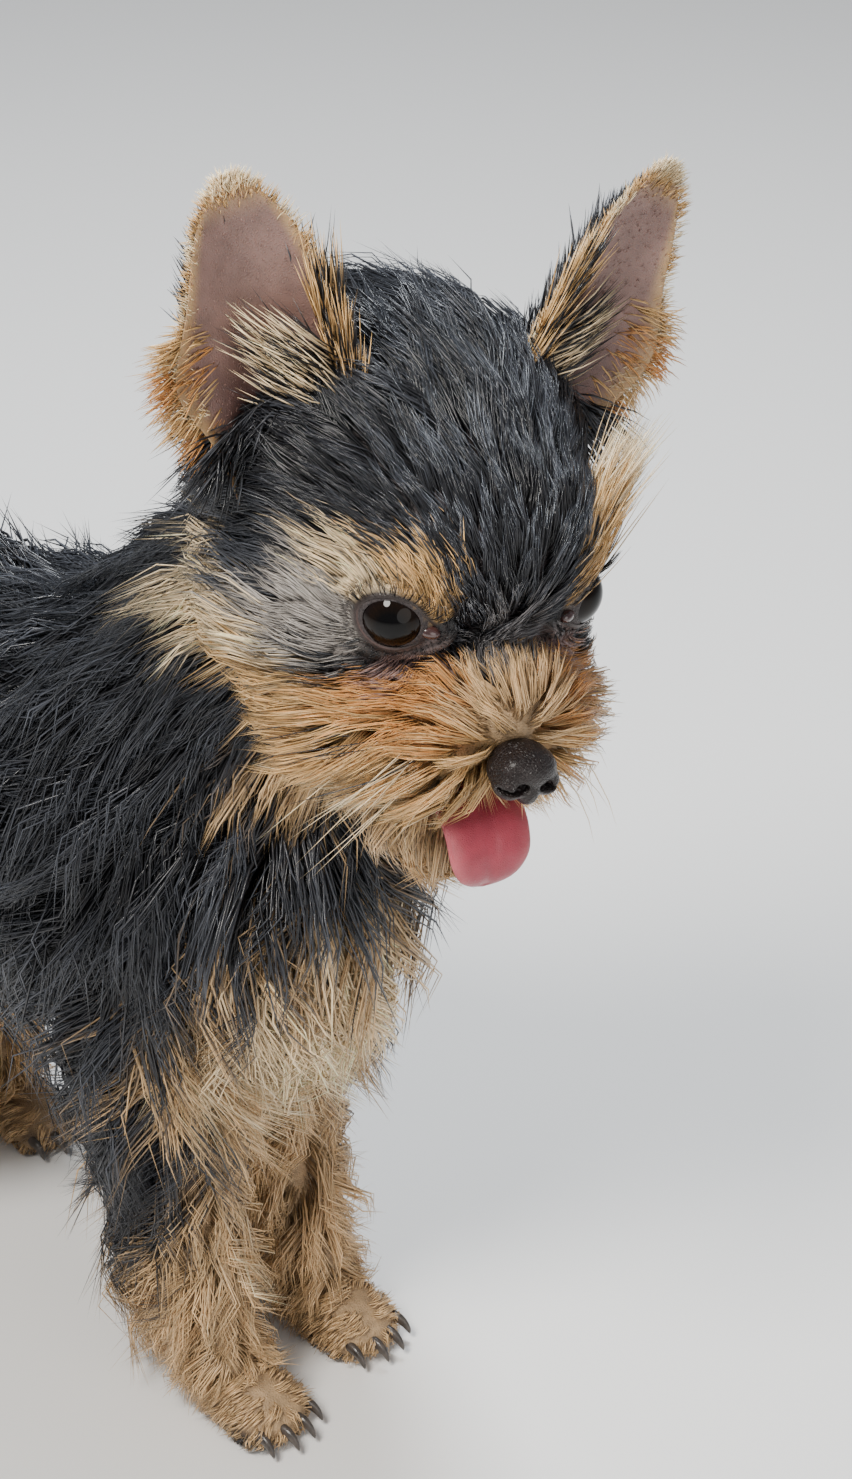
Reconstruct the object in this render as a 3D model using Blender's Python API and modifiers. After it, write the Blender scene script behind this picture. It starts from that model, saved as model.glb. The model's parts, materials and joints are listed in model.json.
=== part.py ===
"""A Yorkshire terrier puppy, standing, life size. Metres, +Z up, the dog's body faces +X, its left is +Y.

Flesh and close undercoat are modelled whole from rounded forms, then parted with thin cuts into head, jaw,
neck, torso, tail, legs and paws. Each then gets the locks of its long coat, combed along the lie of the hair.
Nose, tongue, eyes and ears are pieces of their own, set in pockets or against the skull.
Sizes are written in millimetres and scaled by MM. Body sizes are measured from the point on the floor
under the middle of the skull, and head sizes from the middle of the skull, before the head is turned.
"""

import math
import random

import bmesh
import bpy
from mathutils import Matrix, Vector
from mathutils.bvhtree import BVHTree

MM = 0.001
GAP = 0.3
SLIVER = 0.03

# The carriage of the head
HEAD_CENTRE = Vector((0, 0, 230))
HEAD_TURN = -19.8
HEAD_NOD = 13.5
HEAD_TILT = -9.3

# How much of the coat's depth is dense undercoat, under the locks
COAT_SHARE = 0.5

EYE_CENTRE = Vector((28.6, 18.4, 3.2))
EYE_RADIUS = 8.0
EYE_OUT = 38
EYE_UP = 6
LID_THICK = 1.6
LID_OPEN = (6.6, 5.0)

# The pad of the nose, the blunt tip on it, and the nostrils and side slits, as places from the pad's middle
NOSE_CENTRE = Vector((54.8, 0, -16.8))
NOSE_RADII = (5.6, 6.7, 5.4)
NOSE_TIP = Vector((1.8, 0, 1.2))
NOSE_TIP_RADII = (4.4, 6.2, 4.2)
NOSTRIL = Vector((5.6, 3.1, -0.3))
NOSTRIL_RADII = (2.8, 1.5, 1.3)
NOSTRIL_TURN = 28
NOSE_SLIT = Vector((4.4, 5.2, -0.9))
NOSE_SLIT_RADII = (2.0, 2.4, 0.6)
NOSE_SLIT_TILT = -20

EAR_BASE = Vector((-5, 29, 22))
EAR_TIP = Vector((-9, 49.5, 69))
EAR_HALF_WIDTH = 19.0
EAR_THICK = 1.8
EAR_BACK = 5
EAR_SUNK = 12
EAR_FACING = (0.99, 0.08)
# How strongly the ear curls into a cup at its root, and how much less at its tip
EAR_CURL = 1.2
EAR_UNCURL = 0.75
EAR_ROOT_NARROW = 0.14
EAR_LEAF = (2.4, 0.6)

PAW_HEIGHT = 7
PAW_TOP = 19
TOE_FAN = 5
# A claw from its toe, ahead and up, with its thickness
CLAW_CURVE = ((2, 0.4, 1.4), (6.2, 0.4, 1.4), (7.8, -0.6, 1.0), (8.7, -2.2, 0.5))
FRONT_PAW_RIGHT = Vector((-30, -21, PAW_HEIGHT))
FRONT_PAW_LEFT = Vector((-34, 15, PAW_HEIGHT))
HIND_PAW_X = -150
HIND_PAW_Y = 22

NECK_CUT_AT_HEAD = Vector((-20, 5, 203))
HEAD_LINE = Vector((0.75, 0.05, 0.66)).normalized()
NECK_CUT_AT_TORSO = Vector((-56, 1, 164))
NECK_LINE = Vector((0.615, 0.05, 0.787)).normalized()

# Where no lock grows: round the eyes, round the nose and near the soles
EYE_BARE = 9.5
NOSE_BARE = 10
SOLE_BARE = 5

SEED = 13
LOCK_SINK = 3.2
LOCK_FLOOR = 0.5
LOCK_STATIONS = (0.34, 0.7)
LOCK_WIDTHS = (0.75, 1.0, 0.66)
LOCK_THICKNESS = (2.2, 2.0, 1.5)
LOCK_RISE = (0.45, 0.85, 1.15)
LOCK_LIFT_SHARE = 6
LOCK_TRIES = 2500
# A root lies this close to the uncut skin, where the piece faces the same way
ROOT_AWAY = 0.6
ROOT_FACING = 0.7
# What a lock tries in turn to stay clear of the rest: share of its length, share of its height, extra turn
LOCK_CHOICES = (
    (1, 1, 0),
    (1, 1.25, 0),
    (1, 0.8, 0),
    (1, 1, 0.35),
    (1, 1, -0.35),
    (0.75, 1.1, 0),
    (0.75, 0.75, 0),
    (0.55, 1, 0),
    (0.55, 0.7, 0),
)

# Regions of the coat: place, and the length, width and height of a lock there. The head's are head sizes
# on its left side, and mirrored.
HEAD_COAT = {
    "bridge": ((46, 0, -4), 5, 3, 1.0),
    "moustache": ((43, 12, -20), 21, 6.5, 12),
    "jowl": ((24, 26, -20), 27, 8.5, 16),
    "stop": ((34, 0, 8), 14, 6, 2.5),
    "brow": ((27, 22, 17), 24, 7.5, 14),
    "forehead": ((20, 0, 30), 24, 10, 4),
    "crown": ((-5, 0, 38), 28, 12, 5),
    "temple": ((8, 32, 8), 34, 11, 20),
    "cheek": ((2, 33, -12), 34, 11, 14),
    "ruff": ((-12, 30, -24), 36, 12, 10),
    "nape": ((-38, 0, 10), 36, 12, 7),
    "throat": ((4, 0, -38), 26, 10, 5),
    "chin": ((38, 0, -44), 20, 7, 4),
    "jaw": ((16, 11, -40), 24, 9, 5),
}
BODY_COAT = {
    "neck_back": ((-70, 0, 205), 42, 14, 7),
    "neck_side": ((-45, 30, 175), 44, 14, 11),
    "neck_front": ((-22, 2, 165), 42, 13, 12),
    "chest": ((-24, 0, 125), 42, 12, 17),
    "shoulder": ((-62, 36, 135), 42, 14, 8),
    "back": ((-110, 0, 184), 44, 15, 5),
    "side": ((-110, 36, 145), 46, 15, 8),
    "rump": ((-176, 0, 150), 40, 13, 7),
    "belly": ((-110, 0, 100), 34, 12, 8),
    "thigh": ((-148, 34, 112), 36, 13, 6),
    "foreleg": ((-44, 22, 70), 28, 10, 5.5),
    "elbow": ((-64, 22, 76), 36, 10, 18),
    "wrist": ((-40, 18, 28), 20, 9, 4),
    "feather": ((-56, 18, 42), 33, 10, 19),
    "shin": ((-142, 24, 55), 26, 9, 5),
    "hock": ((-172, 22, 40), 24, 9, 8),
    "tail_root": ((-182, 0, 166), 34, 10, 6),
    "tail_tip": ((-205, 0, 212), 28, 8, 5),
}

# How many triangles the whole flesh has where head, paws or the rest are cut from it
HEAD_TRIANGLES = 6000
PAW_TRIANGLES = 3400
BODY_TRIANGLES = 3000

# The pieces that carry locks, with the distance from root to root in widths of a lock
LOCK_SPACING = {
    "head": 1.42,
    "jaw": 1.15,
    "neck": 1.2,
    "torso": 1.5,
    "tail": 1.4,
    "foreleg_left": 1.5,
    "foreleg_right": 1.5,
    "hindleg_left": 1.5,
    "hindleg_right": 1.5,
}
LOCK_DROOP = {"jaw": 0.7}
TAN_PIECES = ("jaw", "foreleg_left", "foreleg_right", "hindleg_left", "hindleg_right")
TAN_PIECES += ("forepaw_left", "forepaw_right", "hindpaw_left", "hindpaw_right")

COLOURS = {
    "black_coat": ((0.018, 0.018, 0.022), 0.45),
    "tan_coat": ((0.48, 0.27, 0.11), 0.55),
    "ear_skin": ((0.42, 0.24, 0.20), 0.6),
    "nose_leather": ((0.02, 0.015, 0.016), 0.3),
    "eye_glass": ((0.01, 0.006, 0.004), 0.05),
    "tongue_pink": ((0.62, 0.16, 0.20), 0.35),
}


def clear_scene():
    for obj in list(bpy.data.objects):
        bpy.data.objects.remove(obj)


def new_collection(name, parent=None):
    made = bpy.data.collections.new(name)
    (parent or bpy.context.scene.collection).children.link(made)
    return made


clear_scene()
DOG = new_collection("yorkshire_terrier")
WORKSHOP = new_collection("workshop")


def head_matrix():
    """From head sizes to body sizes, both in millimetres: the head turned, nodded and tilted."""
    turn = Matrix.Rotation(math.radians(HEAD_TURN), 4, "Z")
    nod = Matrix.Rotation(math.radians(HEAD_NOD), 4, "Y")
    tilt = Matrix.Rotation(math.radians(HEAD_TILT), 4, "X")
    return Matrix.Translation(HEAD_CENTRE) @ turn @ nod @ tilt


HEAD = head_matrix()
BODY = Matrix.Identity(4)


def mesh_object(name, bm, collection=WORKSHOP):
    mesh = bpy.data.meshes.new(name)
    bm.to_mesh(mesh)
    bm.free()
    obj = bpy.data.objects.new(name, mesh)
    collection.objects.link(obj)
    return obj


def ball(name, centre, radii, frame=BODY, tilt=(0, 0, 0), detail=16):
    """A ball with three radii, tilted about its own axes in degrees."""
    bm = bmesh.new()
    bmesh.ops.create_uvsphere(bm, u_segments=2 * detail, v_segments=detail, radius=1)
    turn = Matrix.Rotation(math.radians(tilt[2]), 4, "Z")
    turn = turn @ Matrix.Rotation(math.radians(tilt[1]), 4, "Y")
    turn = turn @ Matrix.Rotation(math.radians(tilt[0]), 4, "X")
    size = Matrix.Diagonal((*radii, 1))
    place = Matrix.Diagonal((MM, MM, MM, 1)) @ frame @ Matrix.Translation(centre)
    bm.transform(place @ turn @ size)
    return mesh_object(name, bm)


def evaluated_mesh(obj):
    """A new mesh object of what obj's modifiers or curve make, in world space, replacing obj."""
    bpy.context.view_layer.update()
    graph = bpy.context.evaluated_depsgraph_get()
    mesh = bpy.data.meshes.new_from_object(obj.evaluated_get(graph))
    mesh.transform(obj.matrix_world)
    name = obj.name
    bpy.data.objects.remove(obj)
    made = bpy.data.objects.new(name, mesh)
    WORKSHOP.objects.link(made)
    return made


def weld(obj, distance=0.00001):
    bm = bmesh.new()
    bm.from_mesh(obj.data)
    bmesh.ops.remove_doubles(bm, verts=bm.verts, dist=distance)
    bmesh.ops.recalc_face_normals(bm, faces=bm.faces)
    bm.to_mesh(obj.data)
    bm.free()
    return obj


def limb(name, stations, frame=BODY, steps=6, roundness=4):
    """A tapered tube through stations of (x, y, z, radius)."""
    curve = bpy.data.curves.new(name, "CURVE")
    curve.dimensions = "3D"
    curve.bevel_depth = MM
    curve.bevel_resolution = roundness
    curve.resolution_u = steps
    curve.use_fill_caps = True
    spline = curve.splines.new("NURBS")
    spline.points.add(len(stations) - 1)
    spline.order_u = 3
    spline.use_endpoint_u = True
    for point, (x, y, z, radius) in zip(spline.points, stations):
        place = frame @ Vector((x, y, z))
        point.co = (*(place * MM), 1)
        point.radius = radius
    obj = bpy.data.objects.new(name, curve)
    WORKSHOP.objects.link(obj)
    return weld(evaluated_mesh(obj))


def slab(name, outline, half_depth, frame):
    """A flat outline in the frame's X and Y, given half_depth each way along its Z."""
    curve = bpy.data.curves.new(name, "CURVE")
    curve.dimensions = "2D"
    curve.fill_mode = "BOTH"
    curve.extrude = half_depth * MM
    spline = curve.splines.new("POLY")
    spline.points.add(len(outline) - 1)
    spline.use_cyclic_u = True
    for point, (x, y) in zip(spline.points, outline):
        point.co = (x * MM, y * MM, 0, 1)
    obj = bpy.data.objects.new(name, curve)
    WORKSHOP.objects.link(obj)
    metres = frame.copy()
    metres.translation = frame.translation * MM
    obj.matrix_world = metres
    return weld(evaluated_mesh(obj))


def apply_modifier(obj, kind, **settings):
    modifier = obj.modifiers.new(kind.lower(), kind)
    for key, value in settings.items():
        setattr(modifier, key, value)
    return evaluated_mesh(obj)


def copy_of(obj, name):
    made = bpy.data.objects.new(name, obj.data.copy())
    WORKSHOP.objects.link(made)
    return made


def cut(obj, cutters, keep=False):
    """Takes the cutters away from obj, one after the other, or keeps only what lies in all of them."""
    operation = "INTERSECT" if keep else "DIFFERENCE"
    for cutter in cutters:
        obj = apply_modifier(obj, "BOOLEAN", operation=operation, object=cutter)
    return obj


def drop(objects):
    for obj in objects:
        bpy.data.objects.remove(obj)


def joined(name, pieces):
    """One mesh object holding the pieces' faces, not yet fused."""
    bm = bmesh.new()
    for piece in pieces:
        bm.from_mesh(piece.data)
    drop(pieces)
    return mesh_object(name, bm)


def fuse(obj, pieces):
    """Joins closed pieces to obj by one union, and keeps the largest closed surface."""
    group = new_collection("pieces", WORKSHOP)
    for piece in pieces:
        WORKSHOP.objects.unlink(piece)
        group.objects.link(piece)
    obj = apply_modifier(
        obj,
        "BOOLEAN",
        operation="UNION",
        operand_type="COLLECTION",
        collection=group,
        solver="MANIFOLD",
    )
    drop(list(group.objects))
    bpy.data.collections.remove(group)
    return without_slivers(largest_body(obj))


def without_slivers(obj):
    """Closes edges shorter than SLIVER and faces as thin, which a Boolean leaves where surfaces nearly meet."""
    bm = bmesh.new()
    bm.from_mesh(obj.data)
    bmesh.ops.triangulate(bm, faces=bm.faces)
    bmesh.ops.dissolve_degenerate(bm, dist=SLIVER * MM, edges=bm.edges)
    bmesh.ops.triangulate(bm, faces=bm.faces)
    bm.to_mesh(obj.data)
    bm.free()
    return obj


def largest_body(obj):
    """Keeps the largest closed surface of obj."""
    bm = bmesh.new()
    bm.from_mesh(obj.data)
    left = set(bm.verts)
    islands = []
    while left:
        island, edge_of = set(), [left.pop()]
        while edge_of:
            vert = edge_of.pop()
            island.add(vert)
            for edge in vert.link_edges:
                other = edge.other_vert(vert)
                if other in left:
                    left.discard(other)
                    edge_of.append(other)
        islands.append(island)
    islands.sort(key=len)
    for island in islands[:-1]:
        bmesh.ops.delete(bm, geom=list(island), context="VERTS")
    bm.to_mesh(obj.data)
    bm.free()
    return obj


def grown(obj, name, by=GAP):
    """A copy of obj with its surface moved out."""
    made = copy_of(obj, name)
    return apply_modifier(made, "DISPLACE", strength=by * MM, mid_level=0)


def mirror_sides(y):
    return ((1, "left"), (-1, "right")) if y else ((1, ""),)


def coated(radii, coat):
    return tuple(r + coat * COAT_SHARE for r in radii)


def torso_forms():
    """Ribcage, shoulders, chest, loin, belly and rump: centre, radii and coat depth."""
    forms = {
        "ribcage": ((-88, 0, 137), (46, 31, 38), 12),
        "shoulder": ((-62, 17, 134), (24, 16, 34), 11),
        "chest": ((-45, 2, 128), (24, 24, 29), 14),
        "loin": ((-128, 0, 146), (34, 25, 29), 11),
        "belly": ((-120, 0, 127), (34, 23, 20), 9),
        "rump": ((-154, 0, 144), (25, 26, 31), 10),
    }
    made = []
    for name, ((x, y, z), radii, coat) in forms.items():
        for side, _ in mirror_sides(y):
            made.append(ball(name, (x, side * y, z), coated(radii, coat)))
    return made


def neck_form():
    coat = 11 * COAT_SHARE
    return limb(
        "neck",
        (
            (-72, 0, 146, 27 + coat),
            (-54, 1, 168, 25 + coat),
            (-36, 4, 192, 23 + coat),
            (-18, 5, 214, 21 + coat * 0.7),
        ),
    )


def tail_form():
    coat = 9 * COAT_SHARE
    return limb(
        "tail",
        (
            (-160, 0, 150, 8 + coat * 0.6),
            (-180, 0, 163, 6 + coat * 0.8),
            (-194, 0, 180, 5 + coat),
            (-203, 0, 200, 4 + coat),
            (-208, 0, 222, 2 + coat * 0.4),
        ),
    )


def front_leg_forms(side, paw):
    """Upper arm, elbow, forearm and wrist down to the paw, which is a ball with four toes."""
    coat = 7 * COAT_SHARE
    y = side * 20
    made = [
        limb(
            "foreleg",
            (
                (-62, y, 130, 15 + coat),
                (-56, y, 106, 13 + coat),
                (-52, y, 86, 9.5 + coat),
                (paw.x - 17, paw.y, 56, 7.5 + coat),
                (paw.x - 13, paw.y, 31, 6.5 + coat * 0.9),
                (paw.x - 7, paw.y, 12, 7.0 + coat * 0.5),
            ),
        )
    ]
    return made + paw_forms(paw)


def hind_leg_forms(side):
    coat = 7 * COAT_SHARE
    paw = Vector((HIND_PAW_X, side * HIND_PAW_Y, PAW_HEIGHT))
    made = [
        limb(
            "hindleg",
            (
                (-158, side * 13, 138, 18 + coat),
                (-148, side * 20, 112, 18 + coat),
                (-135, side * 24, 89, 12 + coat),
                (-147, side * 24, 64, 8.5 + coat),
                (-164, side * 22, 42, 6.5 + coat * 0.9),
                (paw.x - 9, paw.y, 14, 6.5 + coat * 0.5),
            ),
        )
    ]
    return made + paw_forms(paw)


def toe_places(paw):
    """The middles of a paw's four toes, the inner two further ahead."""
    for index in range(4):
        across = index - 1.5
        yield paw + Vector((10.2 - 1.3 * across**2, 4.7 * across, -2)), across


def paw_forms(paw):
    """The paw's pad and its four toes, side by side."""
    made = [ball("pad", paw, coated((11, 9, 7.5), 2.5))]
    for place, across in toe_places(paw):
        made.append(ball("toe", place, coated((6.4, 2.6, 4.8), 0.8), tilt=(0, 0, TOE_FAN * across)))
    return made


def claws(paw):
    """Four short claws that curve down in front of a paw's toes."""
    made = []
    for place, across in toe_places(paw):
        turn = math.radians(TOE_FAN * across)
        ahead = Vector((math.cos(turn), math.sin(turn), 0))
        stations = [(*(place + ahead * out + Vector((0, 0, up))), thick) for out, up, thick in CLAW_CURVE]
        made.append(limb("claw", stations, steps=1, roundness=0))
    return made


def head_forms():
    """Skull, forehead, brows, cheeks, muzzle, lips, jaw and throat, in head sizes."""
    forms = {
        "skull": ((-6, 0, 9), (36, 31, 27), 8),
        "forehead": ((20, 0, 12), (18, 23, 16), 7),
        "brow": ((25, 14, 12), (10, 9, 8), 4),
        "cheek": ((8, 20, -9), (22, 12, 15), 9),
        "muzzle": ((34, 0, -12), (17, 11, 10), 4),
        "lip": ((36, 9, -19), (12, 8, 7), 8),
        "jowl": ((20, 19, -20), (15, 9, 9), 12),
        "jaw": ((20, 0, -33), (18, 12, 7), 7),
        "chin": ((34, 0, -39), (12, 9.5, 6), 7),
        "throat": ((-8, 0, -20), (22, 21, 15), 9),
    }
    made = []
    for name, ((x, y, z), radii, coat) in forms.items():
        for side, _ in mirror_sides(y):
            made.append(ball(name, (x, side * y, z), coated(radii, coat), HEAD))
    return made


def flesh():
    """The whole animal's rounded forms, fused and smoothed into one skin."""
    forms = torso_forms() + [neck_form(), tail_form()] + head_forms()
    forms += front_leg_forms(1, FRONT_PAW_LEFT) + front_leg_forms(-1, FRONT_PAW_RIGHT)
    forms += hind_leg_forms(1) + hind_leg_forms(-1)
    whole = joined("flesh", forms)
    whole = apply_modifier(whole, "REMESH", mode="VOXEL", voxel_size=1.8 * MM)
    return apply_modifier(whole, "SMOOTH", factor=0.5, iterations=14)


def frame_along(point, direction):
    """A frame at point with its Z along direction."""
    turn = Vector(direction).to_track_quat("Z", "Y").to_matrix().to_4x4()
    return Matrix.Translation(point) @ turn


def half_space(name, point, direction, shift=0, reach=400):
    """A great block that fills all beyond the plane through point, facing direction."""
    direction = Vector(direction).normalized()
    centre = Vector(point) + direction * (shift + reach)
    corner = ((-reach, -reach), (reach, -reach), (reach, reach), (-reach, reach))
    return slab(name, corner, reach, frame_along(centre, direction))


# Leg outlines seen from the front, outward and up, and how far along the body each leg's share runs
LEG_INNER = 3
LEG_TOP_INNER = 90
LEG_TOP_OUTER = 132
LEG_OUTER = 62
FRONT_LEG_SPAN = (-86, 20)
HIND_LEG_SPAN = (-215, -116)


def leg_share(name, side, span, shift):
    """The block of space that belongs to one leg. A positive shift makes it larger all round."""
    rise = (LEG_TOP_OUTER - LEG_TOP_INNER) / (LEG_OUTER - LEG_INNER)
    inner = LEG_INNER - shift
    top = LEG_TOP_INNER + shift * math.hypot(1, rise) - shift * rise
    outline = (
        (side * inner, -20),
        (side * inner, top),
        (side * LEG_OUTER, top + rise * (LEG_OUTER - inner)),
        (side * LEG_OUTER, -20),
    )
    half = (span[1] - span[0]) / 2 + shift
    middle = (span[1] + span[0]) / 2
    frame = Matrix(((0, 0, 1, middle), (1, 0, 0, 0), (0, 1, 0, 0), (0, 0, 0, 1)))
    return slab(name, outline, half, frame)


TAIL_ROOT = Vector((-174, 0, 159))
TAIL_LINE = Vector((-0.75, 0, 0.66))
TAIL_SHARE = 30


def tail_share(name, shift):
    frame = frame_along(TAIL_ROOT + TAIL_LINE.normalized() * (60 - shift), TAIL_LINE)
    side = TAIL_SHARE + shift
    corner = ((-side, -side), (side, -side), (side, side), (-side, side))
    return slab(name, corner, 60, frame)


# The jaw's share and the open mouth, as outlines of the head seen from its side: ahead and up
MOUTH_CORNER = (15, -26)
UPPER_LIP = (80, -28.5)
LOWER_LIP = (80, -42.5)
JAW_BACK = (-4, -75)


def side_frame():
    """Head sizes with X ahead, Y up and Z to the head's right."""
    turn = Matrix(((1, 0, 0, 0), (0, 0, -1, 0), (0, 1, 0, 0), (0, 0, 0, 1)))
    return HEAD @ turn


def jaw_share(name, shift):
    x, z = MOUTH_CORNER
    outline = (
        (x - shift, z + shift),
        (LOWER_LIP[0], LOWER_LIP[1] + shift),
        (LOWER_LIP[0], JAW_BACK[1]),
        (JAW_BACK[0] - shift, JAW_BACK[1]),
    )
    return slab(name, outline, 60, side_frame())


def open_mouth(name):
    x, z = MOUTH_CORNER
    outline = ((x, z + GAP / 2), UPPER_LIP, (LOWER_LIP[0], LOWER_LIP[1] + 0.1), (x, z - GAP / 2))
    return slab(name, outline, 60, side_frame())


def paint(obj, name, slot):
    """Names a finished piece, gives it its material and moves it to the dog's collection."""
    obj = without_slivers(largest_body(obj))
    obj.name = name
    obj.data.name = name
    colour, rough = COLOURS[slot]
    material = bpy.data.materials.get(slot) or bpy.data.materials.new(slot)
    material.use_nodes = True
    shader = material.node_tree.nodes["Principled BSDF"]
    shader.inputs["Base Color"].default_value = (*colour, 1)
    shader.inputs["Roughness"].default_value = rough
    shader.inputs["Metallic"].default_value = 0
    obj.data.materials.clear()
    obj.data.materials.append(material)
    WORKSHOP.objects.unlink(obj)
    DOG.objects.link(obj)
    obj.data.shade_smooth()
    return obj


def coarser(whole, name, triangles):
    """A copy of the whole flesh with about that many triangles."""
    made = copy_of(whole, name)
    made = apply_modifier(made, "TRIANGULATE")
    share = triangles / len(made.data.polygons)
    return apply_modifier(made, "DECIMATE", ratio=share)


def eye_direction(side):
    out, up = math.radians(EYE_OUT), math.radians(EYE_UP)
    return Vector((math.cos(out) * math.cos(up), side * math.sin(out) * math.cos(up), math.sin(up)))


def eye_place(side):
    return Vector((EYE_CENTRE.x, side * EYE_CENTRE.y, EYE_CENTRE.z))


def eye_frame(side):
    """A frame in the middle of the eye: Z looks out, X runs along the lids."""
    gaze = eye_direction(side)
    along = Vector((0, 0, 1)).cross(gaze).normalized()
    up = gaze.cross(along)
    turn = Matrix((along, up, gaze)).transposed().to_4x4()
    return HEAD @ Matrix.Translation(eye_place(side)) @ turn


def lids(head, side):
    """Fuses a ball of lid round the eye, hollows it for the eyeball and opens it like an almond."""
    frame = eye_frame(side)
    lid = EYE_RADIUS + LID_THICK
    rim = ball("lid", (0, 0, 0), (lid + 0.6, lid - 0.4, lid), frame, detail=9)
    head = apply_modifier(head, "BOOLEAN", operation="UNION", object=rim)
    pocket = ball("pocket", (0, 0, 0), (EYE_RADIUS + GAP,) * 3, frame, detail=9)
    slit = ball("slit", (0, 0, EYE_RADIUS + 3), (*LID_OPEN, 9), frame, detail=6)
    head = cut(head, (pocket, slit))
    drop((rim, pocket, slit))
    return head


def nose_pad():
    """The leather of the nose: a rounded pad, flatter on top, with two nostrils and their slits."""
    pad = ball("nose", NOSE_CENTRE, NOSE_RADII, HEAD, detail=6)
    tip = ball("nose_tip", NOSE_CENTRE + NOSE_TIP, NOSE_TIP_RADII, HEAD, detail=5)
    pad = apply_modifier(pad, "BOOLEAN", operation="UNION", object=tip)
    cutters = []
    for side in (1, -1):
        flip = Vector((1, side, 1))
        hole = NOSE_CENTRE + NOSTRIL * flip
        cutters.append(ball("nostril", hole, NOSTRIL_RADII, HEAD, (0, 0, side * NOSTRIL_TURN), detail=4))
        slit = NOSE_CENTRE + NOSE_SLIT * flip
        cutters.append(ball("slit", slit, NOSE_SLIT_RADII, HEAD, (side * NOSE_SLIT_TILT, 0, 0), detail=4))
    pad = cut(pad, cutters)
    drop([tip] + cutters)
    return pad


TONGUE_SIDES = 10
TONGUE_GROOVE = 0.7
TONGUE_GROOVE_HALF = 2.2
TONGUE_STATIONS = (
    (18, -30.6, 8.5, 2.2),
    (34, -31.4, 9.0, 2.4),
    (45, -32.8, 9.3, 2.5),
    (52, -36.0, 9.3, 2.4),
    (55.4, -41.0, 8.4, 2.2),
    (56.0, -44.5, 5.8, 1.8),
)


def tongue(name, grow=0):
    """A flat tongue that lies in the open mouth and hangs over the lower lip.
    Each station is ahead, up, half width and half thickness."""
    stations = [Vector((x, 0, z)) for x, z, _, _ in TONGUE_STATIONS]
    bm = bmesh.new()
    rings = []
    for index, (x, z, half, thick) in enumerate(TONGUE_STATIONS):
        ahead = stations[min(index + 1, len(stations) - 1)] - stations[max(index - 1, 0)]
        up = Vector((0, 1, 0)).cross(ahead).normalized() * -1
        ring = []
        for step in range(TONGUE_SIDES):
            turn = 2 * math.pi * step / TONGUE_SIDES
            across = (half + grow) * math.cos(turn)
            lift = (thick + grow) * math.sin(turn)
            if lift > 0:
                lift -= TONGUE_GROOVE * math.exp(-((across / TONGUE_GROOVE_HALF) ** 2))
            ring.append(bm.verts.new(stations[index] + Vector((0, across, 0)) + up * lift))
        rings.append(ring)
    for first, second in zip(rings, rings[1:]):
        for step in range(TONGUE_SIDES):
            after = (step + 1) % TONGUE_SIDES
            bm.faces.new((first[step], first[after], second[after], second[step]))
    end = bm.verts.new(stations[-1] + (stations[-1] - stations[-2]).normalized() * (2.4 + grow))
    for step in range(TONGUE_SIDES):
        bm.faces.new((rings[-1][step], rings[-1][(step + 1) % TONGUE_SIDES], end))
    bm.faces.new(list(reversed(rings[0])))
    bmesh.ops.recalc_face_normals(bm, faces=bm.faces)
    bm.transform(Matrix.Diagonal((MM, MM, MM, 1)) @ HEAD)
    return mesh_object(name, bm)


def ear_frame(side):
    """A frame at the ear's root: Z runs to its tip and Y looks into its cup."""
    root = Vector((EAR_BASE.x, side * EAR_BASE.y, EAR_BASE.z))
    tip = Vector((EAR_TIP.x, side * EAR_TIP.y, EAR_TIP.z))
    up = (tip - root).normalized()
    face = Vector((EAR_FACING[0], side * EAR_FACING[1], 0))
    face = (face - up * face.dot(up)).normalized()
    across = face.cross(up)
    turn = Matrix((across, face, up)).transposed().to_4x4()
    return HEAD @ Matrix.Translation(root) @ turn, (tip - root).length


def ear(side, name):
    """The cup of an ear: half a cone at its root, opening to a rounded leaf at its tip."""
    frame, height = ear_frame(side)
    bm = bmesh.new()
    bmesh.ops.create_grid(bm, x_segments=6, y_segments=8, size=1)
    for vert in bm.verts:
        across, share = vert.co.x, (vert.co.y + 1) / 2
        share = 1 - (1 - share) ** 1.5
        leaf = max(0.004, 1 - share ** EAR_LEAF[0]) ** EAR_LEAF[1]
        half = EAR_HALF_WIDTH * (1 - EAR_ROOT_NARROW * (1 - share)) * leaf
        curl = EAR_CURL - EAR_UNCURL * share
        bend = half / curl
        turn = across * curl
        cup = bend * (1 - math.cos(turn)) - EAR_BACK
        up = -EAR_SUNK + share * (height + EAR_SUNK)
        vert.co = Vector((bend * math.sin(turn), cup, up))
    bm.transform(Matrix.Diagonal((MM, MM, MM, 1)) @ frame)
    obj = mesh_object(name, bm)
    obj = apply_modifier(obj, "SOLIDIFY", thickness=EAR_THICK * MM, offset=0)
    return weld(apply_modifier(obj, "TRIANGULATE"))


def eyeball(side, name):
    return ball(name, (0, 0, 0), (EYE_RADIUS,) * 3, eye_frame(side), detail=8)


def smooth(value, low, high):
    """Goes smoothly from 0 at low to 1 at high."""
    share = min(max((value - low) / (high - low), 0), 1)
    return share * share * (3 - 2 * share)


def coat_regions():
    """Every region's place on the body, with the length, width and height of its locks."""
    regions = []
    for table, frame in ((HEAD_COAT, HEAD), (BODY_COAT, BODY)):
        for (x, y, z), *sizes in table.values():
            for side, _ in mirror_sides(y):
                regions.append((frame @ Vector((x, side * y, z)), sizes))
    return regions


REGIONS = coat_regions()


def coat_at(point):
    """Length, width and height of a lock at a point, blended from the regions near it."""
    total = 0
    sizes = [0, 0, 0]
    for place, values in REGIONS:
        weight = 1 / ((place - point).length + 2) ** 4
        total += weight
        sizes = [size + weight * value for size, value in zip(sizes, values)]
    return [size / total for size in sizes]


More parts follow.
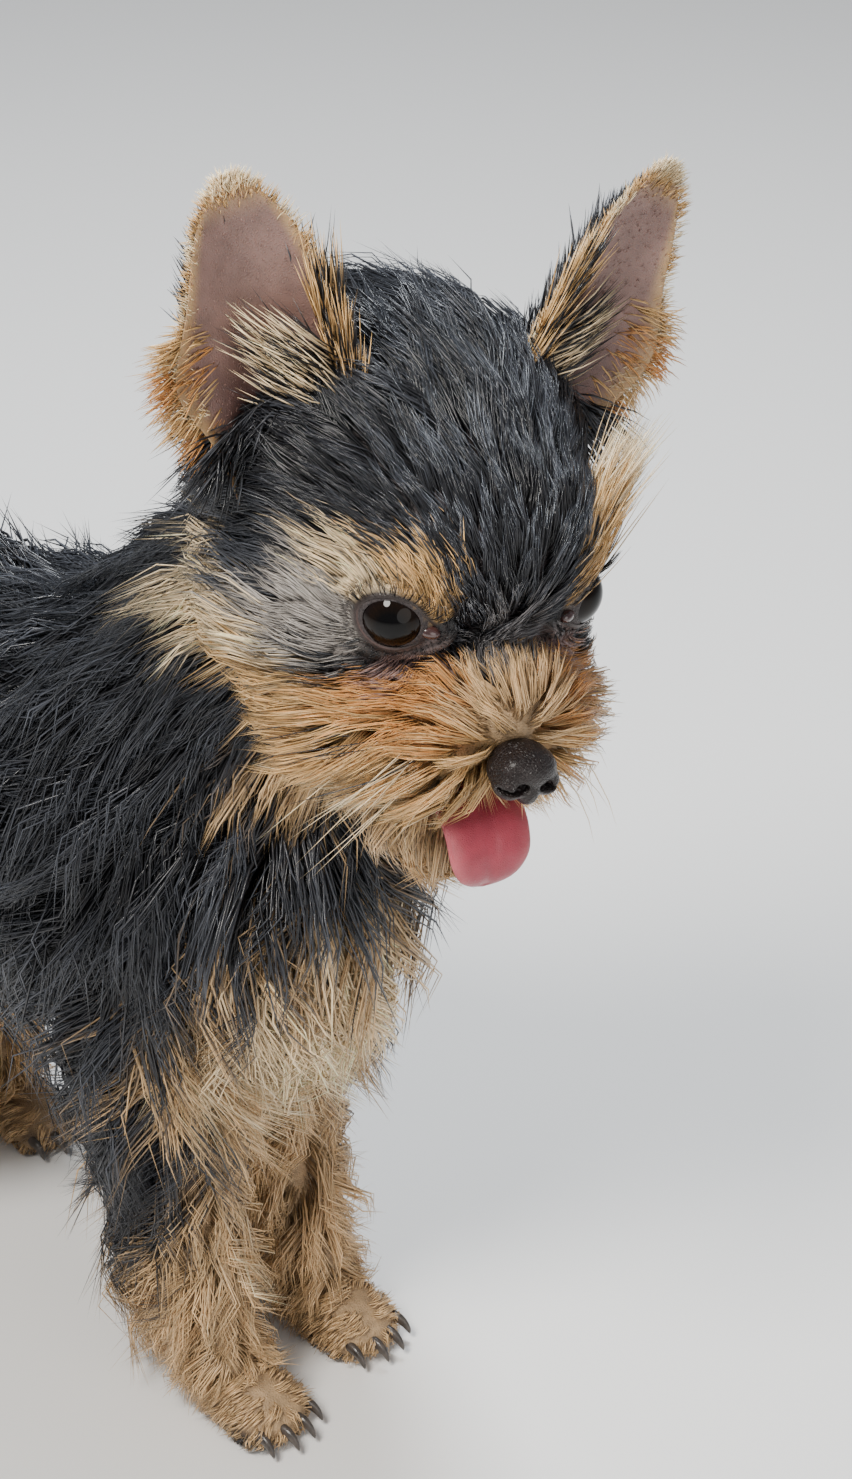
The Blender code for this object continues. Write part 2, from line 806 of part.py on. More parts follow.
def lie(point):
    """The way the coat is combed at a point, before it is laid flat on the body there."""
    local = HEAD.inverted() @ point
    from_nose = local - Vector((50, 0, -6))
    side = smooth(abs(local.y), 8, 26)
    low = smooth(-local.z, -4, 22)
    head = from_nose.normalized() + Vector((0, 0, -0.25 * side - 0.65 * low))
    head = HEAD.to_3x3() @ head
    neck = -NECK_LINE + Vector((-0.35, 0, -0.25))
    flank = smooth(abs(point.y), 4, 30)
    trunk = Vector((-1, 0, -0.15 - 0.85 * flank))
    ahead = smooth(point.x, -62, -38)
    trunk = trunk.lerp(Vector((-0.25, 0, -1)), ahead)
    under = smooth(-point.z, -100, -84)
    trunk = trunk.lerp(Vector((-0.6, 0, -1)), under)
    on_tail = smooth(-point.x - 0.3 * (point.z - 150), 168, 182) * smooth(point.z, 150, 170)
    trunk = trunk.lerp(Vector((-0.75, 0, 0.35)), on_tail)
    on_neck = smooth((point - NECK_CUT_AT_TORSO).dot(NECK_LINE), -18, 18)
    on_head = smooth((point - NECK_CUT_AT_HEAD).dot(HEAD_LINE), -8, 12)
    return trunk.normalized().lerp(neck.normalized(), on_neck).lerp(head.normalized(), on_head).normalized()


def mesh_tree(obj):
    """The faces of a mesh object, in millimetres, ready for nearest-point and overlap questions."""
    corners = [vert.co / MM for vert in obj.data.vertices]
    return BVHTree.FromPolygons(corners, [tuple(face.vertices) for face in obj.data.polygons])


def combed_path(skin, root, up, length, height, turn, droop):
    """A lock's stations and the way its flat side faces: out of the skin, then along the lie of the coat."""
    path = [root - up * LOCK_SINK]
    ups = [up.copy()]
    here = root.copy()
    last = 0
    sideways = up.cross(lie(root)).normalized() * math.sin(turn)
    for share, rise in zip((*LOCK_STATIONS, 1), LOCK_RISE):
        ahead = lie(here) + sideways * (1 - share)
        ahead = ahead - up * ahead.dot(up)
        ahead = ahead.normalized() + Vector((0, 0, -droop * share))
        here = here + ahead.normalized() * length * (share - last)
        last = share
        spot, normal, _, _ = skin.find_nearest(here)
        clear = (here - spot).dot(normal)
        if droop == 0 or clear < height * rise:
            here = spot + normal * height * rise
        up = (up + normal).normalized()
        here.z = max(here.z, 3 * LOCK_FLOOR)
        path.append(here.copy())
        ups.append(up.copy())
    return path, ups


def lock_shape(path, ups, width, thick, grow=0):
    """Corners and faces of a flat lock that tapers to a point along a path."""
    corners, faces = [], []
    for index, (place, up) in enumerate(zip(path[:-1], ups)):
        ahead = (path[index + 1] - path[max(index - 1, 0)]).normalized()
        across = ahead.cross(up).normalized()
        face = across.cross(ahead).normalized()
        across *= width * LOCK_WIDTHS[index] / 2 + grow
        face *= LOCK_THICKNESS[index] * thick + grow
        under = face.normalized() * grow
        corners += [place + across - under, place + face, place - across - under]
    for start in range(0, len(corners) - 3, 3):
        for step in range(3):
            first, second = start + step, start + (step + 1) % 3
            faces += [(first, second, second + 3), (first, second + 3, first + 3)]
    tip = len(corners)
    corners.append(path[-1] + (path[-1] - path[-2]).normalized() * grow)
    faces += [(tip - 3 + step, tip - 3 + (step + 1) % 3, tip) for step in range(3)]
    faces.append((2, 1, 0))
    return corners, faces


def lock_object(corners, faces):
    mesh = bpy.data.meshes.new("lock")
    mesh.from_pydata([corner * MM for corner in corners], [], faces)
    obj = bpy.data.objects.new("lock", mesh)
    WORKSHOP.objects.link(obj)
    return weld(obj)


def surface_points(obj, draw, count):
    """Points spread at random over a mesh, with the way its surface faces there."""
    mesh = obj.data
    mesh.calc_loop_triangles()
    triangles = list(mesh.loop_triangles)
    chosen = draw.choices(triangles, weights=[triangle.area for triangle in triangles], k=count)
    for triangle in chosen:
        a, b, c = (mesh.vertices[index].co / MM for index in triangle.vertices)
        first, second = sorted((draw.random(), draw.random()))
        yield a * first + b * (second - first) + c * (1 - second), triangle.normal.copy()


def is_bare(point):
    """True round the eyes and nose and near the soles, where no lock grows."""
    local = HEAD.inverted() @ point
    for side in (1, -1):
        eye = eye_place(side) + eye_direction(side) * EYE_RADIUS
        if (local - eye).length < EYE_BARE:
            return True
    return (local - NOSE_CENTRE).length < NOSE_BARE or point.z < SOLE_BARE


def lock_roots(obj, skin, draw, spacing):
    """Places for locks, spread evenly over a piece, those furthest from the nose first."""
    roots = []
    for point, facing in surface_points(obj, draw, LOCK_TRIES):
        spot, up, _, away = skin.find_nearest(point)
        if away > ROOT_AWAY or facing.dot(up) < ROOT_FACING or is_bare(point):
            continue
        apart = spacing * coat_at(point)[1]
        if all((point - other).length > apart for other, _ in roots):
            roots.append((point, up))
    nose = HEAD @ NOSE_CENTRE
    roots.sort(key=lambda root: (nose - root[0]).length, reverse=True)
    return roots


def add_locks(obj, skin, others, spacing, droop=0, seed=0):
    """Grows locks over a piece of the body, clear of each other and of others, and fuses them to it.
    spacing is in widths of a lock, and skin is the whole body's surface, which the locks are combed over."""
    draw = random.Random(SEED + seed)
    locks, trees = [], []
    for point, up in lock_roots(obj, skin, draw, spacing):
        length, width, height = coat_at(point)
        length *= draw.uniform(0.9, 1.2)
        height *= draw.uniform(0.9, 1.15)
        turn = draw.uniform(-0.4, 0.4)
        for share, lift, bend in LOCK_CHOICES:
            path, ups = combed_path(skin, point, up, length * share, height * lift, turn + bend, droop)
            slim = width * (0.5 + 0.5 * share)
            thick = min(max(height * lift / LOCK_LIFT_SHARE, 0.6), 1.1)
            wide, faces = lock_shape(path, ups, slim, thick, GAP)
            tree = BVHTree.FromPolygons(wide, faces)
            if min(corner.z for corner in wide) < LOCK_FLOOR:
                continue
            if any(tree.overlap(other) for other in others + trees):
                continue
            corners, faces = lock_shape(path, ups, slim, thick)
            trees.append(BVHTree.FromPolygons(corners, faces))
            locks.append(lock_object(corners, faces))
            break
    print(obj.name, len(obj.data.polygons), "core", len(locks), "locks")
    return fuse(obj, locks) if locks else obj


def cut_head(whole):
    """Head and jaw with the open mouth, the lids and the pockets for nose and tongue."""
    at_head = half_space("at_head", NECK_CUT_AT_HEAD, HEAD_LINE, GAP / 2)
    head = cut(coarser(whole, "head", HEAD_TRIANGLES), (at_head,), keep=True)
    jaw = cut(copy_of(head, "jaw"), (jaw_share("jaw_share", -GAP / 2),), keep=True)
    head = cut(head, (jaw_share("jaw_way", GAP / 2), open_mouth("mouth")))
    for side in (1, -1):
        head = lids(head, side)
    nose_way = ball("nose_way", NOSE_CENTRE, [r + GAP for r in NOSE_RADII], HEAD, detail=8)
    tip_way = ball("tip_way", NOSE_CENTRE + NOSE_TIP, [r + GAP for r in NOSE_TIP_RADII], HEAD, detail=8)
    tongue_way = tongue("tongue_way", GAP)
    head = cut(head, (nose_way, tip_way, tongue_way))
    jaw = cut(jaw, (tongue_way,))
    return head, jaw


def leg_plan():
    """Each leg's name, side, paw, and the stretch along the body that it takes."""
    for side, word in ((1, "left"), (-1, "right")):
        forepaw = FRONT_PAW_LEFT if side > 0 else FRONT_PAW_RIGHT
        yield "foreleg_" + word, side, forepaw, FRONT_LEG_SPAN
        yield "hindleg_" + word, side, Vector((HIND_PAW_X, side * HIND_PAW_Y, PAW_HEIGHT)), HIND_LEG_SPAN


def cut_body(whole):
    """Neck, torso, tail, legs and paws, by name."""
    below_head = half_space("below_head", NECK_CUT_AT_HEAD, -HEAD_LINE, GAP / 2)
    above_torso = half_space("above_torso", NECK_CUT_AT_TORSO, NECK_LINE, GAP / 2)
    at_torso = half_space("at_torso", NECK_CUT_AT_TORSO, -NECK_LINE, GAP / 2)
    floor = half_space("floor", (0, 0, 0), (0, 0, -1))
    above_paw = half_space("above_paw", (0, 0, PAW_TOP), (0, 0, 1), GAP / 2)
    at_paw = half_space("at_paw", (0, 0, PAW_TOP), (0, 0, -1), GAP / 2)
    body = coarser(whole, "body", BODY_TRIANGLES)
    finer = coarser(whole, "finer", PAW_TRIANGLES)
    made = {"neck": cut(copy_of(body, "neck"), (below_head, above_torso), keep=True)}
    torso = cut(copy_of(body, "torso"), (at_torso,), keep=True)
    ways = [leg_share("way", side, span, GAP / 2) for _, side, _, span in leg_plan()]
    made["torso"] = cut(torso, ways + [tail_share("tail_way", GAP / 2)])
    made["tail"] = cut(copy_of(body, "tail"), (tail_share("tail_own", -GAP / 2),), keep=True)
    for name, side, paw, span in leg_plan():
        own = leg_share("own", side, span, -GAP / 2)
        made[name] = cut(copy_of(body, name), (at_torso, own, above_paw), keep=True)
        paw_name = name.replace("leg", "paw")
        foot = cut(copy_of(finer, paw_name), (own, at_paw), keep=True)
        made[paw_name] = cut(fuse(foot, claws(paw)), (floor,))
    return made


def build():
    """All pieces of the animal, from the head back, each with its locks clear of those before it."""
    whole = flesh()
    skin = mesh_tree(whole)
    head, jaw = cut_head(whole)
    trims = {"nose": (nose_pad(), "nose_leather"), "tongue": (tongue("tongue"), "tongue_pink")}
    for side, word in ((1, "left"), (-1, "right")):
        shell = cut(ear(side, "ear_" + word), (grown(head, "head_way"),))
        trims["ear_" + word] = (largest_body(shell), "ear_skin")
        trims["eye_" + word] = (eyeball(side, "eye_" + word), "eye_glass")
    body = {"head": head, "jaw": jaw} | cut_body(whole)
    body = {name: largest_body(piece) for name, piece in body.items()}
    trees = {name: mesh_tree(piece) for name, piece in body.items()}
    trees |= {name: mesh_tree(piece) for name, (piece, _) in trims.items()}
    for index, (name, spacing) in enumerate(LOCK_SPACING.items()):
        others = [tree for other, tree in trees.items() if other != name]
        droop = LOCK_DROOP.get(name, 0)
        body[name] = add_locks(body[name], skin, others, spacing, droop, index)
        trees[name] = mesh_tree(body[name])
    for name, (piece, slot) in trims.items():
        paint(piece, name, slot)
    for name, piece in body.items():
        paint(piece, name, "tan_coat" if name in TAN_PIECES else "black_coat")


def stand_on_origin():
    """Moves every piece so that the origin is on the floor under the middle of the animal's box."""
    corners = [obj.matrix_world @ Vector(c) for obj in DOG.objects for c in obj.bound_box]
    low = Vector([min(c[i] for c in corners) for i in range(3)])
    high = Vector([max(c[i] for c in corners) for i in range(3)])
    shift = Vector((-(low.x + high.x) / 2, -(low.y + high.y) / 2, -low.z))
    for obj in DOG.objects:
        obj.data.transform(Matrix.Translation(shift))
    return shift


build()
bpy.context.view_layer.update()
SHIFT = stand_on_origin()
for helper in list(WORKSHOP.objects):
    bpy.data.objects.remove(helper)
bpy.data.collections.remove(WORKSHOP)
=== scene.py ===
# %% [markdown]
# # A Yorkshire terrier puppy, standing, life size
# A measured model of the puppy is already there: rounded solids with wide locks, in metres. This lesson gives
# it a finished surface: one skin, lifelike eyes, nose, tongue and ears, and a coat of many thousand tufts.
# Every piece is placed from the measured model, so first we load it.

import json
import math

import bmesh
import bpy
import numpy as np
from mathutils import Matrix, Vector
from mathutils.bvhtree import BVHTree
from mathutils.kdtree import KDTree

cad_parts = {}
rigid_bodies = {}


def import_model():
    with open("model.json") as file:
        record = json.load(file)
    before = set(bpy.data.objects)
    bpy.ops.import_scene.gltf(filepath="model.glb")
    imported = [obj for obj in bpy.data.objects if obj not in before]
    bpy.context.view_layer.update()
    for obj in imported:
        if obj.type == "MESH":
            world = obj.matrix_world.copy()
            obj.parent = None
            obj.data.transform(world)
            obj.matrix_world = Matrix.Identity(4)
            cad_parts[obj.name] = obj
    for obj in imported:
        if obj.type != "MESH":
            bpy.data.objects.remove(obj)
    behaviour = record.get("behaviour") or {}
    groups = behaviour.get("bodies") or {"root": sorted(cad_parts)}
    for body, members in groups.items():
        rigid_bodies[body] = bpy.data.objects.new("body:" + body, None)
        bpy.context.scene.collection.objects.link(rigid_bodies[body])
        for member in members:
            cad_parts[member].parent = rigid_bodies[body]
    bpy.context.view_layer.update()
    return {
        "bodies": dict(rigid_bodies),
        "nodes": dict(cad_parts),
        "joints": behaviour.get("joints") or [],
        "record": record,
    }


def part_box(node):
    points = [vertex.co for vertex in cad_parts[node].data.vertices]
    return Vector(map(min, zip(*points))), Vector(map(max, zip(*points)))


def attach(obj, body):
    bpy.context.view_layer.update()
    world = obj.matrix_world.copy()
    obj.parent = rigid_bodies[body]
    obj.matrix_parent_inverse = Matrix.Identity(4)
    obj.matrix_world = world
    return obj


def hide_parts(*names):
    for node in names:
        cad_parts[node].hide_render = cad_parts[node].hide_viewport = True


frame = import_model()
BODY = next(iter(frame["bodies"]))
print("body:", BODY, "nodes:", len(frame["nodes"]))

# %% [markdown]
# ## Where the head is
# The puppy's body faces +X and its head is turned. Head sizes are easiest to give before that turn, in
# millimetres from the middle of the skull, and one matrix then carries them to the body. The measured right
# eye tells us how far the whole animal was moved to stand on its origin.

# %% Head and body frames
MM = 0.001
EYE_CENTRE = Vector((28.6, 18.4, 3.2))
EYE_RADIUS = 8.0
EYE_OUT = 38
EYE_UP = 6
NOSE_CENTRE = Vector((54.8, 0, -16.8))


def turned(degrees, axis):
    return Matrix.Rotation(math.radians(degrees), 4, axis)


HEAD_CENTRE = Vector((0, 0, 230))
HEAD = Matrix.Translation(HEAD_CENTRE) @ turned(-19.8, "Z") @ turned(13.5, "Y") @ turned(-9.3, "X")
FLAT_BODY = Matrix.Identity(4)
eye_low, eye_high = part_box("eye_right")
SHIFT = (eye_low + eye_high) / 2 / MM - HEAD @ Vector((EYE_CENTRE.x, -EYE_CENTRE.y, EYE_CENTRE.z))
TO_HEAD = np.array(HEAD.inverted())
HEAD_TURN = np.array(HEAD.to_3x3())
print("the animal stands at", [round(v, 2) for v in SHIFT], "mm")


def in_head(points):
    """Points of the body, one per row, in head sizes."""
    return points @ TO_HEAD[:3, :3].T + TO_HEAD[:3, 3]


# %% [markdown]
# ## Camera, floor and light
# The camera looks down on the puppy from its right front, at the height of a standing person's hands, with a
# fairly long lens. The floor is a plain pale sheet, and three large soft lamps stand for a studio.

# %% Camera
VIEW_TURN = math.radians(40)
VIEW_DOWN = math.radians(29.5)
CAMERA_RIGHT = 5.1
CAMERA_BACK = 525.6
CAMERA_UP = 249.4
across = Vector((math.cos(VIEW_TURN), math.sin(VIEW_TURN), 0))
ahead = Vector((-math.sin(VIEW_TURN), math.cos(VIEW_TURN), 0))
place = HEAD_CENTRE + SHIFT + across * CAMERA_RIGHT - ahead * CAMERA_BACK + Vector((0, 0, CAMERA_UP))
look = ahead * math.cos(VIEW_DOWN) - Vector((0, 0, math.sin(VIEW_DOWN)))
camera_data = bpy.data.cameras.new("camera")
camera_data.lens = 73.02
camera_data.sensor_width = 36
camera_data.clip_start = 0.01
camera = bpy.data.objects.new("camera", camera_data)
bpy.context.scene.collection.objects.link(camera)
camera.location = place * MM
camera.rotation_euler = look.to_track_quat("-Z", "Y").to_euler()
bpy.context.scene.camera = camera
print("camera at", [round(v, 3) for v in camera.location])


# %% Floor and lamps
def plain_material(name, colour, roughness):
    material = bpy.data.materials.new(name)
    material.use_nodes = True
    shader = material.node_tree.nodes["Principled BSDF"]
    shader.inputs["Base Color"].default_value = (*colour, 1)
    shader.inputs["Roughness"].default_value = roughness
    return material, shader


def lamp(name, place, target, size, power, colour):
    light = bpy.data.lights.new(name, "AREA")
    light.shape = "DISK"
    light.size = size
    light.energy = power
    light.color = colour
    obj = bpy.data.objects.new(name, light)
    bpy.context.scene.collection.objects.link(obj)
    obj.location = place
    obj.rotation_euler = (Vector(target) - Vector(place)).to_track_quat("-Z", "Y").to_euler()
    return obj


FLOOR_HALF = 4.0
floor_mesh = bpy.data.meshes.new("floor")
corner = [(-FLOOR_HALF, -FLOOR_HALF, 0), (FLOOR_HALF, -FLOOR_HALF, 0)]
corner += [(FLOOR_HALF, FLOOR_HALF, 0), (-FLOOR_HALF, FLOOR_HALF, 0)]
floor_mesh.from_pydata(corner, [], [(0, 1, 2, 3)])
floor = bpy.data.objects.new("floor", floor_mesh)
bpy.context.scene.collection.objects.link(floor)
floor_material, _ = plain_material("studio floor", (0.80, 0.79, 0.77), 0.8)
floor.data.materials.append(floor_material)

head_place = (HEAD_CENTRE + SHIFT) * MM
lamp("key lamp", (0.15, -0.75, 1.15), head_place, 0.42, 22, (1.0, 0.96, 0.90))
lamp("top lamp", (-0.25, 0.35, 1.2), head_place, 0.36, 18, (0.90, 0.95, 1.0))
lamp("fill lamp", (1.1, -0.3, 0.45), head_place, 0.9, 4, (1.0, 0.96, 0.92))
world = bpy.data.worlds.new("studio")
bpy.context.scene.world = world
world.use_nodes = True
world.node_tree.nodes["Background"].inputs["Color"].default_value = (0.86, 0.91, 1.0, 1)
world.node_tree.nodes["Background"].inputs["Strength"].default_value = 0.36
print("stage set")

# %% [markdown]
# ## Making pieces
# Shapes are worked out in millimetres round the body and turned into mesh objects in one place, which also
# has each piece ride on the animal's one body.


# %% Piece helpers
def shape(name, corners, faces):
    """A mesh object from corners in body millimetres."""
    mesh = bpy.data.meshes.new(name)
    mesh.from_pydata((np.asarray(corners) + np.array(SHIFT)) * MM, [], faces)
    obj = bpy.data.objects.new(name, mesh)
    bpy.context.scene.collection.objects.link(obj)
    return obj


def dressed(obj, material, slot, replaces=()):
    obj.data.materials.clear()
    obj.data.materials.append(material)
    obj.data.shade_smooth()
    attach(obj, BODY)
    for node in replaces:
        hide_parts(node)
    print(obj.name, len(obj.data.polygons), "faces")
    return obj


def applied(obj, kind, **settings):
    """Puts one modifier on obj and applies it."""
    modifier = obj.modifiers.new(kind.lower(), kind)
    for key, value in settings.items():
        setattr(modifier, key, value)
    bpy.context.view_layer.update()
    graph = bpy.context.evaluated_depsgraph_get()
    mesh = bpy.data.meshes.new_from_object(obj.evaluated_get(graph))
    obj.modifiers.clear()
    old, obj.data = obj.data, mesh
    bpy.data.meshes.remove(old)
    return obj


def smooth(value, low, high):
    """Goes smoothly from 0 at low to 1 at high, for numbers or whole arrays."""
    share = np.clip((value - low) / (high - low), 0, 1)
    return share * share * (3 - 2 * share)


# %% [markdown]
# ## Finishes
# Two effects are shared by several finishes, so each is a node group with named sockets: a soft mottling of a
# colour, and a fine pebbled relief such as skin and nose leather have. The Principled shader itself stays in
# each material.


# %% Node groups
def new_group(name, inputs, outputs):
    group = bpy.data.node_groups.new(name, "ShaderNodeTree")
    for label, kind, value in inputs:
        socket = group.interface.new_socket(label, in_out="INPUT", socket_type=kind)
        socket.default_value = value
    for label, kind in outputs:
        group.interface.new_socket(label, in_out="OUTPUT", socket_type=kind)
    return group, group.nodes.new("NodeGroupInput"), group.nodes.new("NodeGroupOutput")


def node(tree, kind, **settings):
    made = tree.nodes.new(kind)
    for key, value in settings.items():
        setattr(made, key, value)
    return made


def mottling_group():
    """Varies a colour between a darker and a lighter tone in soft patches."""
    group, into, out = new_group(
        "mottling",
        [
            ("Colour", "NodeSocketColor", (0.5, 0.5, 0.5, 1)),
            ("Scale", "NodeSocketFloat", 300.0),
            ("Amount", "NodeSocketFloat", 0.2),
        ],
        [("Colour", "NodeSocketColor")],
    )
    where = node(group, "ShaderNodeTexCoord")
    noise = node(group, "ShaderNodeTexNoise")
    noise.inputs["Detail"].default_value = 4
    tone = node(group, "ShaderNodeMapRange")
    least = node(group, "ShaderNodeMath", operation="SUBTRACT")
    most = node(group, "ShaderNodeMath", operation="ADD")
    least.inputs[0].default_value = 1
    most.inputs[0].default_value = 1
    scaled = node(group, "ShaderNodeVectorMath", operation="SCALE")
    link = group.links.new
    link(where.outputs["Object"], noise.inputs["Vector"])
    link(into.outputs["Scale"], noise.inputs["Scale"])
    link(into.outputs["Amount"], least.inputs[1])
    link(into.outputs["Amount"], most.inputs[1])
    link(noise.outputs["Fac"], tone.inputs["Value"])
    tone.inputs["From Min"].default_value = 0.3
    tone.inputs["From Max"].default_value = 0.7
    link(least.outputs[0], tone.inputs["To Min"])
    link(most.outputs[0], tone.inputs["To Max"])
    link(into.outputs["Colour"], scaled.inputs[0])
    link(tone.outputs["Result"], scaled.inputs["Scale"])
    link(scaled.outputs[0], out.inputs["Colour"])
    return group


def pebble_group():
    """The height of a fine pebbled skin: rounded cells with grooves between them."""
    group, into, out = new_group(
        "pebbles",
        [("Scale", "NodeSocketFloat", 900.0), ("Groove", "NodeSocketFloat", 0.35)],
        [("Height", "NodeSocketFloat")],
    )
    where = node(group, "ShaderNodeTexCoord")
    cells = node(group, "ShaderNodeTexVoronoi", feature="DISTANCE_TO_EDGE")
    grain = node(group, "ShaderNodeTexNoise")
    grain.inputs["Scale"].default_value = 2500
    groove = node(group, "ShaderNodeMapRange", interpolation_type="SMOOTHSTEP")
    add = node(group, "ShaderNodeMath", operation="MULTIPLY_ADD")
    add.inputs[1].default_value = 0.25
    link = group.links.new
    link(where.outputs["Object"], cells.inputs["Vector"])
    link(where.outputs["Object"], grain.inputs["Vector"])
    link(into.outputs["Scale"], cells.inputs["Scale"])
    link(cells.outputs["Distance"], groove.inputs["Value"])
    link(into.outputs["Groove"], groove.inputs["From Max"])
    link(grain.outputs["Fac"], add.inputs[0])
    link(groove.outputs["Result"], add.inputs[2])
    link(add.outputs[0], out.inputs["Height"])
    return group


MOTTLING = mottling_group()
PEBBLES = pebble_group()


def add_mottling(material, shader, colour, scale, amount):
    """Feeds Base Color with a mottled colour, which is a value or another node's output."""
    tree = material.node_tree
    mottled = node(tree, "ShaderNodeGroup", node_tree=MOTTLING)
    mottled.inputs["Scale"].default_value = scale
    mottled.inputs["Amount"].default_value = amount
    if isinstance(colour, tuple):
        mottled.inputs["Colour"].default_value = (*colour, 1)
    else:
        tree.links.new(colour, mottled.inputs["Colour"])
    tree.links.new(mottled.outputs["Colour"], shader.inputs["Base Color"])


def add_pebbles(material, shader, scale, groove, depth):
    """Gives a material a pebbled relief of a depth in millimetres."""
    tree = material.node_tree
    pebbles = node(tree, "ShaderNodeGroup", node_tree=PEBBLES)
    pebbles.inputs["Scale"].default_value = scale
    pebbles.inputs["Groove"].default_value = groove
    bump = node(tree, "ShaderNodeBump")
    bump.inputs["Distance"].default_value = depth * MM
    tree.links.new(pebbles.outputs["Height"], bump.inputs["Height"])
    tree.links.new(bump.outputs["Normal"], shader.inputs["Normal"])


def attribute_colour(material, name):
    found = node(material.node_tree, "ShaderNodeAttribute", attribute_type="GEOMETRY")
    found.attribute_name = name
    return found.outputs["Color"]


print("node groups:", [group.name for group in bpy.data.node_groups])

# %% [markdown]
# ## The skin
# One skin runs under the whole coat, so no seam shows at the neck or legs. It is made as an animal sculptor
# starts: rounded masses for skull, cheeks, ribcage and limbs, melted together by a voxel remesh and smoothed.
# The open mouth is cut before the last remesh, which rounds the lips.

# %% Masses of the head and body
HEAD_SHARE = 0.32
BODY_SHARE = 0.25
HEAD_MASSES = {
    "skull": ((-6, 0, 9), (36, 31, 27), 8),
    "forehead": ((20, 0, 12), (18, 23, 16), 7),
    "brow": ((25, 14, 12), (10, 9, 8), 4),
    "cheek": ((8, 20, -9), (22, 12, 15), 9),
    "muzzle": ((34, 0, -12), (17, 11, 10), 4),
    "lip": ((36, 9, -19), (12, 8, 7), 8),
    "jowl": ((20, 19, -20), (15, 9, 9), 12),
    "jaw": ((20, 0, -33), (18, 12, 7), 7),
    "chin": ((34, 0, -39), (12, 9.5, 6), 7),
    "throat": ((-8, 0, -20), (22, 21, 15), 9),
}
BODY_MASSES = {
    "ribcage": ((-88, 0, 137), (46, 31, 38), 12),
    "shoulder": ((-62, 17, 134), (24, 16, 34), 11),
    "chest": ((-45, 2, 128), (24, 24, 29), 14),
    "loin": ((-128, 0, 146), (34, 25, 29), 11),
    "belly": ((-120, 0, 127), (34, 23, 20), 9),
    "rump": ((-154, 0, 144), (25, 26, 31), 10),
}
NECK = ((-72, 0, 146, 27), (-54, 1, 168, 25), (-36, 4, 192, 23), (-18, 5, 214, 21))
TAIL = ((-160, 0, 150, 8), (-180, 0, 163, 6), (-194, 0, 180, 5), (-203, 0, 200, 4), (-208, 0, 222, 2))
PAW_HEIGHT = 7
FORE_PAWS = {1: Vector((-34, 15, PAW_HEIGHT)), -1: Vector((-30, -21, PAW_HEIGHT))}
HIND_PAWS = {1: Vector((-150, 22, PAW_HEIGHT)), -1: Vector((-150, -22, PAW_HEIGHT))}


def unit_ball(detail):
    bm = bmesh.new()
    bmesh.ops.create_uvsphere(bm, u_segments=2 * detail, v_segments=detail, radius=1)
    corners = np.array([vert.co for vert in bm.verts])
    faces = [[vert.index for vert in face.verts] for face in bm.faces]
    bm.free()
    return corners, faces


BALL, BALL_FACES = unit_ball(14)


def ball(centre, radii, frame_matrix=FLAT_BODY, tilt=0):
    """Corners of a rounded mass, in body sizes."""
    place = np.array(frame_matrix @ Matrix.Translation(centre) @ turned(tilt, "Z") @ Matrix.Diagonal((*radii, 1)))
    return BALL @ place[:3, :3].T + place[:3, 3]


def limb(stations, coat, steps=8):
    """A chain of overlapping balls along stations of x, y, z and radius."""
    for first, second in zip(stations, stations[1:]):
        for step in range(steps + 1):
            x, y, z, radius = [a + (b - a) * step / steps for a, b in zip(first, second)]
            yield ball((x, y, z), (radius + coat,) * 3)


def fore_leg(side):
    paw = FORE_PAWS[side]
    y = side * 20
    return (
        (-62, y, 130, 15),
        (-56, y, 106, 13),
        (-52, y, 86, 9.5),
        (paw.x - 17, paw.y, 56, 7.5),
        (paw.x - 13, paw.y, 31, 6.5),
        (paw.x - 7, paw.y, 12, 7.0),
    )


def hind_leg(side):
    paw = HIND_PAWS[side]
    return (
        (-158, side * 13, 138, 18),
        (-148, side * 20, 112, 18),
        (-135, side * 24, 89, 12),
        (-147, side * 24, 64, 8.5),
        (-164, side * 22, 42, 6.5),
        (paw.x - 9, paw.y, 14, 6.5),
    )


def toe_places(paw):
    for index in range(4):
        step = index - 1.5
        yield paw + Vector((10.2 - 1.3 * step**2, 4.7 * step, -2)), step


print("masses:", len(HEAD_MASSES) + len(BODY_MASSES))


# %% Build the skin
FIRST_VOXEL = 1.6
VOXEL = 1.25
SOLE_LEVEL = 0.1
EYE_GAP = 0.15
SLIT_DEPTH = 9
SLIT_AHEAD = 3
LID_RADII = (9.1, 8.6, 8.7)
LID_SLIT = (6.5, 5.1)
MOUTH_CORNER = (15, -26)
MOUTH_TOP = (80, -28.5)
MOUTH_BOTTOM = (80, -42.5)


def eye_frame(side):
    """A frame in the middle of an eye: Z looks out and X runs along the lids."""
    out, up = math.radians(EYE_OUT), math.radians(EYE_UP)
    gaze = Vector((math.cos(out) * math.cos(up), side * math.sin(out) * math.cos(up), math.sin(up)))
    along = Vector((0, 0, 1)).cross(gaze).normalized()
    turn = Matrix((along, gaze.cross(along), gaze)).transposed().to_4x4()
    return HEAD @ Matrix.Translation((EYE_CENTRE.x, side * EYE_CENTRE.y, EYE_CENTRE.z)) @ turn


